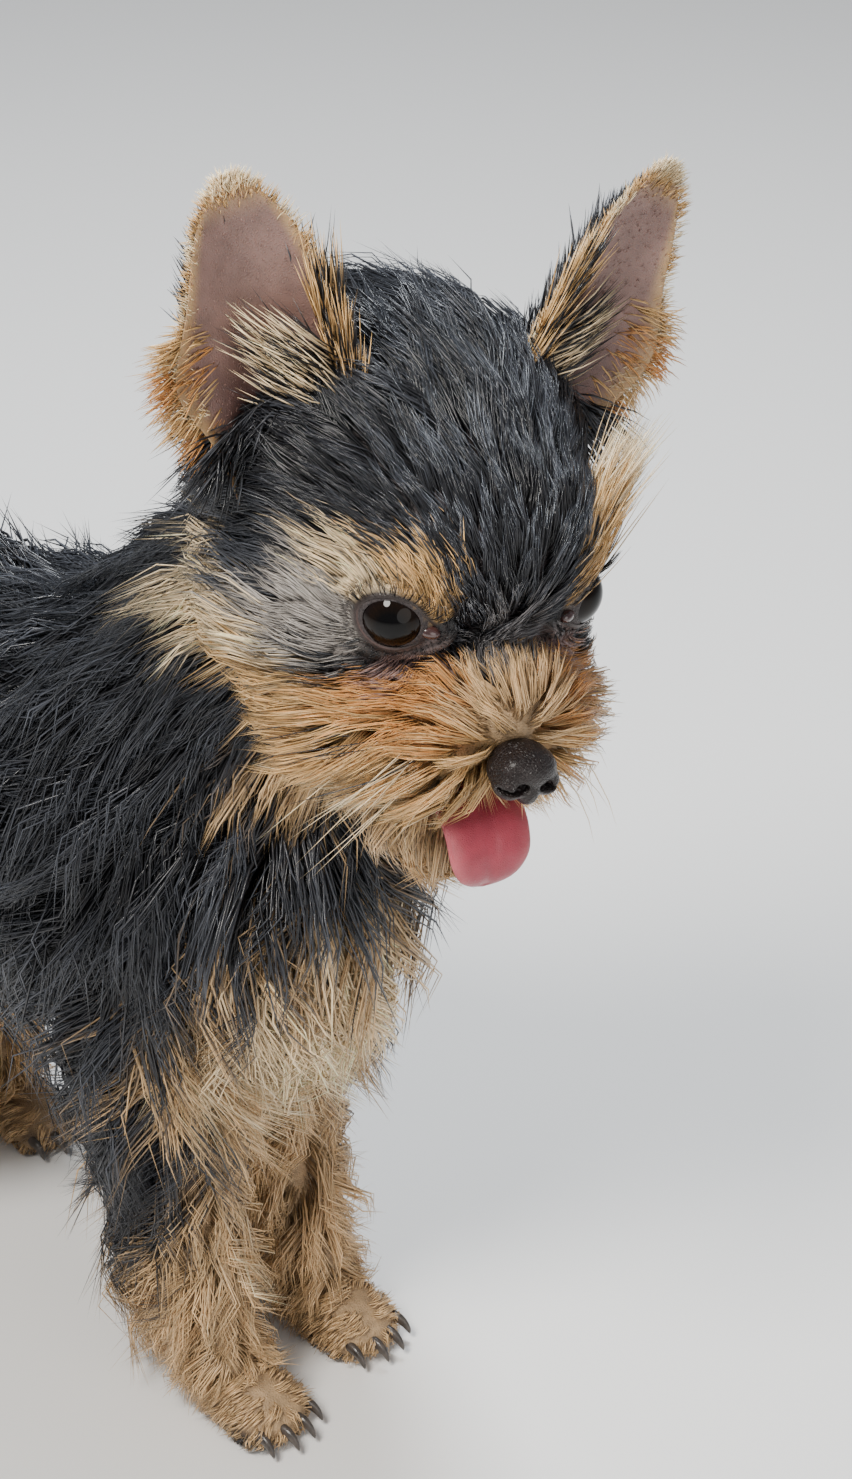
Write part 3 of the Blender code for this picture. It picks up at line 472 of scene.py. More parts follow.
def all_masses():
    """Every rounded mass of the animal."""
    for masses, matrix, share in ((HEAD_MASSES, HEAD, HEAD_SHARE), (BODY_MASSES, FLAT_BODY, BODY_SHARE)):
        for (x, y, z), radii, coat in masses.values():
            for side in (1, -1) if y else (1,):
                yield ball((x, side * y, z), [r + coat * share for r in radii], matrix)
    yield from limb(NECK, 11 * BODY_SHARE)
    yield from limb(TAIL, 9 * BODY_SHARE)
    for side in (1, -1):
        yield ball((0, 0, 0), LID_RADII, eye_frame(side))
        for leg, paw in ((fore_leg(side), FORE_PAWS[side]), (hind_leg(side), HIND_PAWS[side])):
            yield from limb(leg, 7 * BODY_SHARE)
            yield ball(paw, (11.5, 9.5, 7.5))
            for toe, step in toe_places(paw):
                yield ball(toe, (6.4, 2.7, 4.8), tilt=5 * step)


def balls_object(name, balls):
    """One mesh object that holds the faces of many balls."""
    balls = list(balls)
    faces = [[corner + len(BALL) * number for corner in face] for number in range(len(balls)) for face in BALL_FACES]
    return shape(name, np.concatenate(balls), faces)


def subtract(obj, cutter):
    obj = applied(obj, "BOOLEAN", operation="DIFFERENCE", object=cutter, solver="MANIFOLD")
    bpy.data.objects.remove(cutter)
    return obj


def mouth_wedge():
    """The open mouth as a wedge between the lips, through the whole width of the head."""
    outline = (MOUTH_CORNER, MOUTH_TOP, MOUTH_BOTTOM)
    corners = [HEAD @ Vector((x, y, z)) for y in (-40, 40) for x, z in outline]
    return shape("mouth", corners, [(0, 1, 2), (5, 4, 3), (1, 0, 3, 4), (2, 1, 4, 5), (0, 2, 5, 3)])


def eye_cutter(radii, centre, side):
    return balls_object("cutter", [ball(centre, radii, eye_frame(side))])


skin = balls_object("skin", all_masses())
skin = applied(skin, "REMESH", mode="VOXEL", voxel_size=FIRST_VOXEL * MM)
skin = applied(skin, "SMOOTH", factor=0.5, iterations=8)
skin = subtract(skin, mouth_wedge())
skin = applied(skin, "REMESH", mode="VOXEL", voxel_size=VOXEL * MM)
skin = applied(skin, "SMOOTH", factor=0.5, iterations=10)
whole_skin = BVHTree.FromObject(skin, bpy.context.evaluated_depsgraph_get())
for side in (1, -1):
    skin = subtract(skin, eye_cutter((EYE_RADIUS + EYE_GAP,) * 3, (0, 0, 0), side))
    skin = subtract(skin, eye_cutter((*LID_SLIT, SLIT_DEPTH), (0, 0, EYE_RADIUS + SLIT_AHEAD), side))
skin_corners = np.empty(len(skin.data.vertices) * 3)
skin.data.vertices.foreach_get("co", skin_corners)
skin_corners = skin_corners.reshape(-1, 3) / MM - np.array(SHIFT)
skin_corners[:, 2] = np.maximum(skin_corners[:, 2], SOLE_LEVEL)
# A cut may list the same faces in another order each time, and the coat's chances follow the order.
faces = [list(polygon.vertices) for polygon in skin.data.polygons]
faces = sorted(face[face.index(min(face)) :] + face[: face.index(min(face))] for face in faces)
bpy.data.objects.remove(skin)
skin = shape("skin", skin_corners, faces)
print("skin:", len(skin.data.polygons), "faces")

# %% [markdown]
# ## The coat's lie
# A coat is combed by the way its hairs lie. One function gives that direction anywhere on the body: on the
# head away from the nose and down over the cheeks, on the trunk backwards and down the flanks, on the chest
# and legs downwards, and up the tail.

# %% Lie of the coat
NECK_AT_HEAD = np.array((-20, 5, 203))
HEAD_LINE = np.array(Vector((0.75, 0.05, 0.66)).normalized())
NECK_AT_TORSO = np.array((-56, 1, 164))
NECK_LINE = np.array(Vector((0.615, 0.05, 0.787)).normalized())


def unit(rows):
    return rows / np.maximum(np.linalg.norm(rows, axis=-1, keepdims=True), 1e-9)


def mixed(first, second, share):
    return first + (second - first) * share[:, None]


def blended(points, places, values, near, power):
    """Values of named places, blended by how near each is to a point."""
    away = np.linalg.norm(points[:, None] - places[None], axis=2)
    weight = 1 / (away + near) ** power
    return (weight @ values) / weight.sum(1, keepdims=True)


# Where, in head sizes, the coat lies which way. Both sides are alike.
HEAD_FLOW = (
    ((49, 0, -6), (-0.6, 0, 0.8)),
    ((49, 6, -8), (-0.5, 0.7, 0.5)),
    ((49, 9, -14), (-0.1, 1, 0.0)),
    ((47, 9, -21), (0, 0.85, -0.55)),
    ((52, 2, -24), (0.1, 0.3, -0.95)),
    ((36, 19, -14), (-0.6, 0.6, -0.45)),
    ((34, 19, -22), (-0.45, 0.5, -0.75)),
    ((20, 26, -24), (-0.75, 0.4, -0.6)),
    ((34, 19, -6), (-0.8, 0.6, -0.1)),
    ((38, 0, 2), (-0.5, 0, 0.85)),
    ((37, 8, 3), (-0.5, 0.25, 0.8)),
    ((35, 13, 12), (-0.5, 0.4, 0.75)),
    ((29, 20, 14), (-0.75, 0.6, 0.25)),
    ((22, 27, 11), (-0.95, 0.35, 0.05)),
    ((18, 30, 0), (-0.97, 0.25, -0.02)),
    ((8, 33, -12), (-0.9, 0.35, -0.2)),
    ((-10, 33, -18), (-0.8, 0.45, -0.35)),
    ((26, 0, 22), (-0.8, 0, 0.6)),
    ((20, 15, 24), (-0.85, 0.3, 0.4)),
    ((-4, 0, 37), (-1, 0, -0.05)),
    ((-2, 18, 32), (-0.9, 0.45, 0)),
    ((8, 29, 17), (-0.9, 0.4, 0.1)),
    ((-4, 34, 6), (-0.9, 0.35, -0.3)),
    ((-36, 0, 12), (-0.6, 0, -0.8)),
    ((-30, 24, 0), (-0.7, 0.35, -0.6)),
    ((4, 0, -38), (-0.5, 0, -0.7)),
    ((44, 0, -42), (0.6, 0, -0.8)),
    ((38, 8, -42), (0.2, 0.5, -0.85)),
    ((20, 14, -38), (-0.4, 0.45, -0.8)),
)
FLOW_PLACES = np.array([(x, side * y, z) for (x, y, z), _ in HEAD_FLOW for side in (1, -1)], float)
FLOW_WAYS = np.array([(x, side * y, z) for _, (x, y, z) in HEAD_FLOW for side in (1, -1)], float)


def head_lie(points):
    """The lie of the coat on the head, blended from the named places."""
    return blended(in_head(points), FLOW_PLACES, FLOW_WAYS, 1.5, 3) @ HEAD_TURN.T


def lie(points):
    x, y, z = points.T
    flank = smooth(np.abs(y), 4, 30)
    trunk = np.stack([-np.ones_like(x), np.sign(y) * 0.1 * flank, -0.15 - 0.85 * flank], 1)
    trunk = mixed(trunk, np.array((-0.25, 0, -1)), smooth(x, -62, -38))
    trunk = mixed(trunk, np.array((-0.6, 0, -1)), smooth(-z, -100, -84))
    on_tail = smooth(-x - 0.3 * (z - 150), 168, 182) * smooth(z, 150, 170)
    trunk = mixed(trunk, np.array((-0.75, 0, 0.35)), on_tail)
    neck = unit(-NECK_LINE[None] + np.array((-0.35, 0, -0.25)))
    on_neck = smooth((points - NECK_AT_TORSO) @ NECK_LINE, -18, 18)
    on_head = smooth((points - NECK_AT_HEAD) @ HEAD_LINE, -26, 20)
    return unit(mixed(mixed(unit(trunk), neck, on_neck), unit(head_lie(points)), on_head))


print("lie on the back:", np.round(lie(np.array([[-110.0, 0, 180]])), 2))

# %% [markdown]
# ## What the coat is like from place to place
# Short and fine on the bridge of the nose and feet, long on neck and flanks. Each named place gives the
# length, how far the tips stand off, the width of a strand, strands in a square millimetre, the size of a
# lock, how far a lock hangs free of the body, and its wave. Between places the values blend.

# %% Coat by place
HEAD_COAT = {
    "bridge": ((46, 0, -3), 7, 3.0, 0.26, 3.6, 1.8, 0.1, 0.05),
    "nose_side": ((47, 9, -12), 12, 7.0, 0.28, 3.2, 2.2, 0.3, 0.05),
    "upper_lip": ((47, 8, -21), 17, 10.0, 0.30, 3.0, 2.4, 0.6, 0.06),
    "moustache": ((35, 19, -18), 19, 10.0, 0.32, 2.8, 2.8, 0.4, 0.05),
    "under_eye": ((34, 19, -8), 5, 1.0, 0.26, 2.6, 1.6, 0, 0.04),
    "pouch": ((35.5, 19, -3.5), 2.4, 0.5, 0.20, 2.4, 1.2, 0, 0.02),
    "tear_corner": ((39, 12, 1), 3.5, 0.9, 0.26, 1.4, 1.4, 0, 0.03),
    "behind_eye": ((20, 28, 3), 12, 3.0, 0.30, 2.8, 2.6, 0.1, 0.05),
    "stop": ((36, 0, 6), 11, 3.0, 0.28, 3.0, 2.2, 0.1, 0.05),
    "brow": ((30, 17, 14), 10, 2.8, 0.28, 3.2, 2.4, 0.1, 0.05),
    "brow_tuft": ((22, 26, 12), 13, 4.0, 0.30, 2.6, 2.8, 0.2, 0.05),
    "forehead": ((22, 0, 24), 32, 4.5, 0.36, 1.8, 3.6, 0.1, 0.10),
    "crown": ((-4, 0, 37), 40, 6.5, 0.44, 1.3, 4.6, 0.15, 0.12),
    "temple": ((8, 29, 18), 32, 7.0, 0.40, 1.6, 4.0, 0.2, 0.10),
    "cheek": ((10, 31, -12), 26, 9.0, 0.40, 1.9, 3.4, 0.4, 0.06),
    "ruff": ((-6, 32, -20), 34, 12.0, 0.52, 1.1, 4.4, 0.5, 0.10),
    "nape": ((-36, 0, 12), 38, 9.0, 0.62, 0.8, 4.6, 0.2, 0.08),
    "throat": ((4, 0, -38), 30, 9.0, 0.60, 0.9, 4.2, 0.5, 0.09),
    "chin": ((42, 0, -42), 16, 6.0, 0.34, 2.2, 2.8, 0.5, 0.07),
    "jaw": ((18, 13, -38), 24, 7.0, 0.50, 1.3, 3.6, 0.5, 0.07),
}
BODY_COAT = {
    "neck_back": ((-70, 0, 200), 46, 12.0, 0.68, 0.58, 5.4, 0.2, 0.16),
    "neck_side": ((-45, 28, 175), 50, 15.0, 0.68, 0.60, 5.8, 0.3, 0.18),
    "neck_front": ((-24, 2, 168), 44, 15.0, 0.66, 0.66, 5.4, 0.5, 0.18),
    "chest": ((-24, 0, 125), 42, 13.0, 0.50, 1.0, 5.2, 0.6, 0.26),
    "shoulder": ((-62, 34, 135), 48, 13.0, 0.70, 0.56, 6.0, 0.2, 0.18),
    "back": ((-110, 0, 182), 46, 11.0, 0.76, 0.46, 5.8, 0.1, 0.15),
    "side": ((-110, 34, 145), 50, 13.0, 0.76, 0.45, 6.2, 0.2, 0.17),
    "rump": ((-176, 0, 150), 42, 11.0, 0.76, 0.44, 5.6, 0.2, 0.15),
    "belly": ((-110, 0, 102), 36, 12.0, 0.76, 0.38, 5.0, 0.6, 0.12),
    "thigh": ((-148, 34, 112), 38, 11.0, 0.74, 0.46, 5.0, 0.2, 0.10),
    "foreleg": ((-42, 22, 70), 22, 6.5, 0.42, 1.15, 4.2, 0.2, 0.26),
    "elbow": ((-66, 22, 78), 38, 16.0, 0.50, 0.95, 5.0, 0.6, 0.26),
    "wrist": ((-40, 18, 28), 15, 5.0, 0.36, 1.5, 3.4, 0.2, 0.2),
    "feather": ((-58, 18, 42), 34, 18.0, 0.42, 1.2, 4.8, 0.5, 0.28),
    "fore_foot": ((-24, 18, 10), 7, 2.0, 0.36, 1.6, 2.0, 0, 0.04),
    "shin": ((-142, 24, 55), 24, 8.0, 0.58, 0.66, 4.0, 0.2, 0.10),
    "hock": ((-172, 22, 40), 24, 11.0, 0.58, 0.72, 4.0, 0.5, 0.12),
    "hind_foot": ((-142, 22, 10), 7, 2.0, 0.40, 1.3, 2.0, 0, 0.04),
    "tail_root": ((-182, 0, 166), 34, 10.0, 0.70, 0.6, 4.4, 0.3, 0.10),
    "tail_tip": ((-205, 0, 212), 26, 7.0, 0.62, 0.8, 3.8, 0.3, 0.10),
}
LENGTH, LIFT, WIDTH, DENSITY, LOCK_SIZE, FREEDOM, WAVE = range(7)


def coat_table():
    places, values = [], []
    for table, matrix in ((HEAD_COAT, HEAD), (BODY_COAT, FLAT_BODY)):
        for (x, y, z), *sizes in table.values():
            for side in (1, -1) if y else (1,):
                places.append(matrix @ Vector((x, side * y, z)))
                values.append(sizes)
    return np.array(places), np.array(values)


COAT_PLACES, COAT_VALUES = coat_table()


def coat_at(points):
    """The coat's seven values at each point, blended from the named places."""
    return blended(points, COAT_PLACES, COAT_VALUES, 2.0, 4)


print("coat places:", len(COAT_PLACES))

# %% [markdown]
# ## Markings
# A Yorkshire terrier is black above and tan below. The tan sits in patches that breeders know by name: brows,
# cheeks, muzzle, chest and legs. Each patch is one rounded shape with a soft, ragged edge, painted over the
# black in turn. Skin and coat read the same patches, so no bald colour shows between the hairs.

# %% Tones
TONES = {
    "black": (0.012, 0.012, 0.014),
    # A lighter blue-grey: the coat's own colour in the band behind the eye, and a painted sheen on clumps of ear
    # hair.
    "steel_and_sheen": (0.060, 0.063, 0.072),
    "grey": (0.16, 0.15, 0.15),
    "silver": (0.33, 0.30, 0.27),
    "cream": (0.82, 0.64, 0.40),
    "gold": (0.64, 0.40, 0.17),
    "sand": (0.62, 0.41, 0.21),
    "orange": (0.60, 0.28, 0.09),
    "rose": (0.30, 0.20, 0.185),
}
# Where each tone goes: its middle and radii, first on the head, then on the body. Both sides are alike.
HEAD_MARKS = (
    ("gold", (46, 0, -20), (16, 18, 14)),
    ("cream", (9, 32, -15), (17, 13, 16)),
    ("gold", (26, 23, -25), (18, 16, 13)),
    ("sand", (28, 0, -46), (32, 26, 17)),
    ("steel_and_sheen", (11, 31, -2), (7, 9, 8)),
    ("silver", (22, 27, -2.5), (9, 9, 8.5)),
    ("cream", (26, 22, 8), (8, 8, 5)),
    ("gold", (32.5, 16.5, 10), (6.5, 6, 6.5)),
    ("orange", (42, 17, -12), (14, 13, 7.5)),
    ("gold", (38, 18, -20), (16, 14, 6)),
    ("cream", (44, 14, -27), (14, 12, 5)),
    ("grey", (42, 0, 0), (8, 9, 6)),
    ("sand", (50, 0, -8), (7, 8, 7)),
    ("rose", (36, 15, -7), (6, 8, 5)),
    ("black", (36, 8, 5), (3, 3.5, 6)),
)
BODY_MARKS = (
    ("sand", (-22, 0, 116), (30, 38, 32)),
    ("cream", (-18, 0, 128), (24, 28, 16)),
    ("sand", (-44, 18, 46), (34, 26, 50)),
    ("cream", (-24, 16, 66), (13, 16, 44)),
    ("black", (-54, 34, 86), (24, 15, 42)),
    ("sand", (-40, 18, 18), (34, 22, 24)),
    ("sand", (-158, 20, 36), (34, 26, 42)),
    ("cream", (-112, 0, 98), (36, 16, 10)),
    ("gold", (-190, 0, 140), (16, 12, 14)),
)
EDGE = 0.16


def unevenness(points, size):
    """Slow waves between about -1 and 1, to make an edge ragged."""
    x, y, z = (points / size).T
    waves = np.sin(1.7 * x + 2.3 * z + 0.4) + np.sin(2.9 * y - 1.1 * x + 1.3) + np.sin(2.1 * z + 1.9 * y - 0.7)
    return waves / 3


def tone_at(points):
    """The coat's colour at each point."""
    local = in_head(points)
    sided_head = local * (1, 0, 1) + np.abs(local) * (0, 1, 0)
    sided_body = points * (1, 0, 1) + np.abs(points) * (0, 1, 0)
    on_head = smooth((points - NECK_AT_HEAD) @ HEAD_LINE, -14, -4)
    colour = np.tile(np.array(TONES["black"]), (len(points), 1))
    ragged = EDGE * unevenness(points, 5.0)
    for marks, sided, share in ((BODY_MARKS, sided_body, 1 - on_head), (HEAD_MARKS, sided_head, on_head)):
        for tone, centre, radii in marks:
            away = np.linalg.norm((sided - centre) / np.array(radii), axis=1) + ragged
            colour = mixed(colour, np.array(TONES[tone]), (1 - smooth(away, 0.86, 1.14)) * share)
    return colour


print("marks:", len(HEAD_MARKS) + len(BODY_MARKS))

# %% [markdown]
# ## Colouring the skin
# The skin shows only where the coat is thin: round the eyes, at the lips and on the feet. It takes the coat's
# tones, darkened and rosier, as a colour stored at its corners, and dark rims at eyes and mouth.

# %% Bare places and skin colour
MOUTH_SLOPE_TOP = (MOUTH_TOP[1] - MOUTH_CORNER[1]) / (MOUTH_TOP[0] - MOUTH_CORNER[0])
MOUTH_SLOPE_BOTTOM = (MOUTH_BOTTOM[1] - MOUTH_CORNER[1]) / (MOUTH_BOTTOM[0] - MOUTH_CORNER[0])
EYE_FRAMES = {side: eye_frame(side) for side in (1, -1)}


def in_eye(points, side):
    """Points in the frame of one eye: along the lids, up, and out."""
    inverse = np.array(EYE_FRAMES[side].inverted())
    return points @ inverse[:3, :3].T + inverse[:3, 3]


def eye_reach(points):
    """How far each point is outside the nearer eye's opening, in millimetres, and whether it is below the eye."""
    found, below = np.full(len(points), 99.0), np.zeros(len(points))
    for side in (1, -1):
        local = in_eye(points, side)
        away = np.hypot(local[:, 0] / LID_SLIT[0], local[:, 1] / LID_SLIT[1]) - 1
        away = np.where(local[:, 2] > 0, away * (LID_SLIT[0] + LID_SLIT[1]) / 2, 99)
        nearer = away < found
        found = np.where(nearer, away, found)
        below = np.where(nearer, smooth(-local[:, 1] - 0.55 * side * local[:, 0], 1.5, 4.5), below)
    return found, below


def in_mouth(points, margin):
    x, y, z = in_head(points).T
    top = MOUTH_CORNER[1] + MOUTH_SLOPE_TOP * (x - MOUTH_CORNER[0]) + margin
    bottom = MOUTH_CORNER[1] + MOUTH_SLOPE_BOTTOM * (x - MOUTH_CORNER[0]) - margin
    return (x > MOUTH_CORNER[0] - 1) & (z < top) & (z > bottom) & (np.abs(y) < 26)


def hairy(points):
    """1 where the coat grows and 0 where the skin is bare."""
    nose = np.linalg.norm(in_head(points) - np.array(NOSE_CENTRE), axis=1)
    reach, below = eye_reach(points)
    pouch = below * (1 - smooth(reach, 3.6, 6.0)) * 0.85
    share = smooth(reach, 0.35, 0.9) * (1 - pouch) * smooth(nose, 5.0, 6.0) * (points[:, 2] > 2.2)
    return share * ~in_mouth(points, 0.9)


LIP_TONE = np.array((0.10, 0.045, 0.045))
RIM_TONE = np.array((0.030, 0.022, 0.022))
SOLE_TONE = np.array((0.035, 0.028, 0.028))
skin_tone = tone_at(skin_corners) * 0.5 + np.array((0.012, 0.006, 0.006))
skin_tone = mixed(skin_tone, LIP_TONE, in_mouth(skin_corners, 1.2).astype(float))
skin_tone = mixed(skin_tone, RIM_TONE, 1 - smooth(eye_reach(skin_corners)[0], 0.2, 0.8))
skin_tone = mixed(skin_tone, SOLE_TONE, 1 - smooth(skin_corners[:, 2], 1.5, 4))


def store_colour(mesh, name, rows):
    layer = mesh.attributes.new(name, "FLOAT_COLOR", "POINT")
    layer.data.foreach_set("color", np.hstack([rows, np.ones((len(rows), 1))]).astype(np.float32).ravel())


store_colour(skin.data, "skin_colour", skin_tone)
skin_material, skin_shader = plain_material("skin under coat", (0.2, 0.15, 0.12), 0.62)
add_mottling(skin_material, skin_shader, attribute_colour(skin_material, "skin_colour"), 400, 0.25)
add_pebbles(skin_material, skin_shader, 1400, 0.4, 0.12)
FLESH = ["head", "jaw", "neck", "torso", "tail"]
FLESH += [part + "_" + side for part in ("foreleg", "hindleg", "forepaw", "hindpaw") for side in ("left", "right")]
dressed(skin, skin_material, "black_coat", FLESH)

# %% [markdown]
# ## Rings and sheets
# Eyeballs, lids, tongue, ears and claws are all rows of corners, one row after another, whose places come from
# a short formula. One helper joins such rows with faces.


# %% Rows of corners
def joined(rows, loop=False):
    """Corners and faces through closed rings of corners; the ends are capped unless the rings form a loop."""
    count, sides = rows.shape[:2]
    corner = np.arange(count * sides).reshape(count, sides)
    beside = np.roll(corner, -1, axis=1)
    here, there = (corner, beside) if loop else (corner[:-1], beside[:-1])
    next_here, next_there = (np.roll(corner, -1, 0), np.roll(beside, -1, 0)) if loop else (corner[1:], beside[1:])
    faces = np.stack([here, there, next_there, next_here], -1).reshape(-1, 4).tolist()
    if not loop:
        faces += [corner[0][::-1].tolist(), corner[-1].tolist()]
    return rows.reshape(-1, 3), faces


def several(parts):
    """One set of corners and faces from several."""
    corners, faces, start = [], [], 0
    for more_corners, more_faces in parts:
        corners.append(more_corners)
        faces += [[corner + start for corner in face] for face in more_faces]
        start += len(more_corners)
    return np.concatenate(corners), faces


def placed(matrix, points):
    """Points moved by a matrix."""
    matrix = np.array(matrix)
    return points @ matrix[:3, :3].T + matrix[:3, 3]


def outward(obj):
    """Turns all faces of a closed mesh outwards."""
    bm = bmesh.new()
    bm.from_mesh(obj.data)
    bmesh.ops.recalc_face_normals(bm, faces=bm.faces)
    bm.to_mesh(obj.data)
    bm.free()
    return obj


print("row helpers ready")

# %% [markdown]
# ## Eyes
# A puppy's eye is a ball 16 mm across with a clear, more strongly curved front. It could be made of glass over
# a painted disc. Here the iris is nearly as dark as the pupil, so one ball with a bulged front does: its colour
# follows the distance from the line of sight, fibres run outwards in the iris, and a glossy coat wets it.

# %% Eyes
EYE_RINGS = 48
EYE_SIDES = 72
CORNEA_EDGE = math.radians(47)
CORNEA_RISE = 0.8
IRIS_TONES = (
    (0.00, (0.0015, 0.0013, 0.0015)),
    (0.30, (0.0018, 0.0015, 0.0015)),
    (0.34, (0.003, 0.002, 0.0015)),
    (0.50, (0.006, 0.003, 0.0015)),
    (0.66, (0.005, 0.0025, 0.002)),
    (0.76, (0.003, 0.002, 0.002)),
    (0.90, (0.05, 0.04, 0.035)),
    (1.00, (0.12, 0.095, 0.085)),
)
IRIS_REACH = 8.0


def eyeball():
    """Corners of one eye in its own frame, and for each the way round and the distance from the line of sight."""
    polar = np.linspace(0.01, math.pi - 0.01, EYE_RINGS)[:, None]
    turn = np.arange(EYE_SIDES)[None] * 2 * math.pi / EYE_SIDES
    radius = EYE_RADIUS + CORNEA_RISE * np.clip(1 - (polar / CORNEA_EDGE) ** 2, 0, None) ** 1.5
    flat = np.ones_like(turn)
    rows = np.stack([radius * np.sin(polar) * np.cos(turn), radius * np.sin(polar) * np.sin(turn)], -1)
    rows = np.concatenate([rows, (radius * np.cos(polar) * flat)[:, :, None]], 2)
    even = np.ones_like(polar)
    sight = np.stack([np.cos(turn) * even, np.sin(turn) * even, polar * EYE_RADIUS * flat], -1)
    return rows, sight.reshape(-1, 3)


def eye_finish():
    material, shader = plain_material("wet eye", (0.01, 0.006, 0.004), 0.03)
    shader.inputs["IOR"].default_value = 1.376
    shader.inputs["Specular IOR Level"].default_value = 0.28
    tree = material.node_tree
    sight = node(tree, "ShaderNodeAttribute", attribute_type="GEOMETRY", attribute_name="sight")
    split = node(tree, "ShaderNodeSeparateXYZ")
    reach = node(tree, "ShaderNodeMath", operation="DIVIDE")
    reach.inputs[1].default_value = IRIS_REACH
    tones = node(tree, "ShaderNodeValToRGB")
    stops = tones.color_ramp.elements
    while len(stops) < len(IRIS_TONES):
        stops.new(0.5)
    for stop, (place, tone) in zip(stops, IRIS_TONES):
        stop.position = place
        stop.color = (*tone, 1)
    stretch = node(tree, "ShaderNodeVectorMath", operation="MULTIPLY")
    stretch.inputs[1].default_value = (9, 9, 0.25)
    fibres = node(tree, "ShaderNodeTexNoise")
    fibres.inputs["Scale"].default_value = 1.6
    fibres.inputs["Detail"].default_value = 3
    strength = node(tree, "ShaderNodeMapRange")
    strength.inputs["To Min"].default_value = 0.45
    strength.inputs["To Max"].default_value = 1.7
    coloured = node(tree, "ShaderNodeVectorMath", operation="SCALE")
    link = tree.links.new
    link(sight.outputs["Vector"], split.inputs[0])
    link(split.outputs["Z"], reach.inputs[0])
    link(reach.outputs[0], tones.inputs["Fac"])
    link(sight.outputs["Vector"], stretch.inputs[0])
    link(stretch.outputs[0], fibres.inputs["Vector"])
    link(fibres.outputs["Fac"], strength.inputs["Value"])
    link(tones.outputs["Color"], coloured.inputs[0])
    link(strength.outputs["Result"], coloured.inputs["Scale"])
    link(coloured.outputs[0], shader.inputs["Base Color"])
    return material


EYE_FINISH = eye_finish()
for side, name in ((1, "eye_left"), (-1, "eye_right")):
    rows, sight = eyeball()
    eye = outward(shape("shown_" + name, *joined(placed(EYE_FRAMES[side], rows))))
    layer = eye.data.attributes.new("sight", "FLOAT_VECTOR", "POINT")
    layer.data.foreach_set("vector", sight.astype(np.float32).ravel())
    dressed(eye, EYE_FINISH, "eye_glass", [name])

# %% [markdown]
# ## Eyelids
# Round each eye lies a fine skin that the coarse body skin can't show: a dark upper rim, a pale wet lower rim,
# a fold above, and below a smooth pouch with two thin wrinkles that run to the inner corner. It is a sheet of
# rings that start on the eyeball, roll over the lid's edge, and run out under the coat on the body's skin.

# %% Eyelids
LID_SIDES = 120
LID_REACH = (0.3, 0.6, 0.9, 1.3, 1.7, 2.1, 2.5, 2.9, 3.3, 3.8, 4.4, 5.0, 5.6, 6.3, 7.0)
LID_ROLL = ((-0.1, -0.4), (-0.3, 0.15), (-0.3, 0.4), (-0.15, 0.62), (0.05, 0.75))
LID_THICK = 0.8
CORNER_LONG = 1.7
CORNER_DROP = 0.9
UPPER_RIM = np.array((0.020, 0.012, 0.010))
LOWER_RIM = np.array((0.060, 0.032, 0.028))
POUCH = np.array((0.105, 0.075, 0.070))
# Painted shade in the creases of the lids: the fold above and the wrinkles below are painted this dark tone.
CREASE_SHADE = np.array((0.022, 0.014, 0.013))


def lid_line(side, turn, reach):
    """The almond line of the opening, and lines round it at a reach in millimetres. Turn 0 is the inner corner."""
    corner = np.clip(np.cos(turn), 0, None)
    inner = (LID_SLIT[0] + reach) * np.cos(turn) + CORNER_LONG * corner**10
    up = (LID_SLIT[1] + reach) * np.sin(turn) - CORNER_DROP * corner**4
    return -side * inner, up


def ball_height(x, y):
    return np.sqrt(np.clip(EYE_RADIUS**2 - x**2 - y**2, 9, None))


def skin_height(side, across, up):
    """The height of the uncut skin over an eye's middle, along its line of sight."""
    frame = EYE_FRAMES[side]
    sight = frame.to_3x3() @ Vector((0, 0, -1))
    heights = []
    for x, y in zip(across, up):
        start = frame @ Vector((x, y, 25)) + SHIFT
        _, _, _, away = whole_skin.ray_cast(start * MM, sight, 60 * MM)
        heights.append(25 - away / MM if away else 0)
    return np.array(heights)


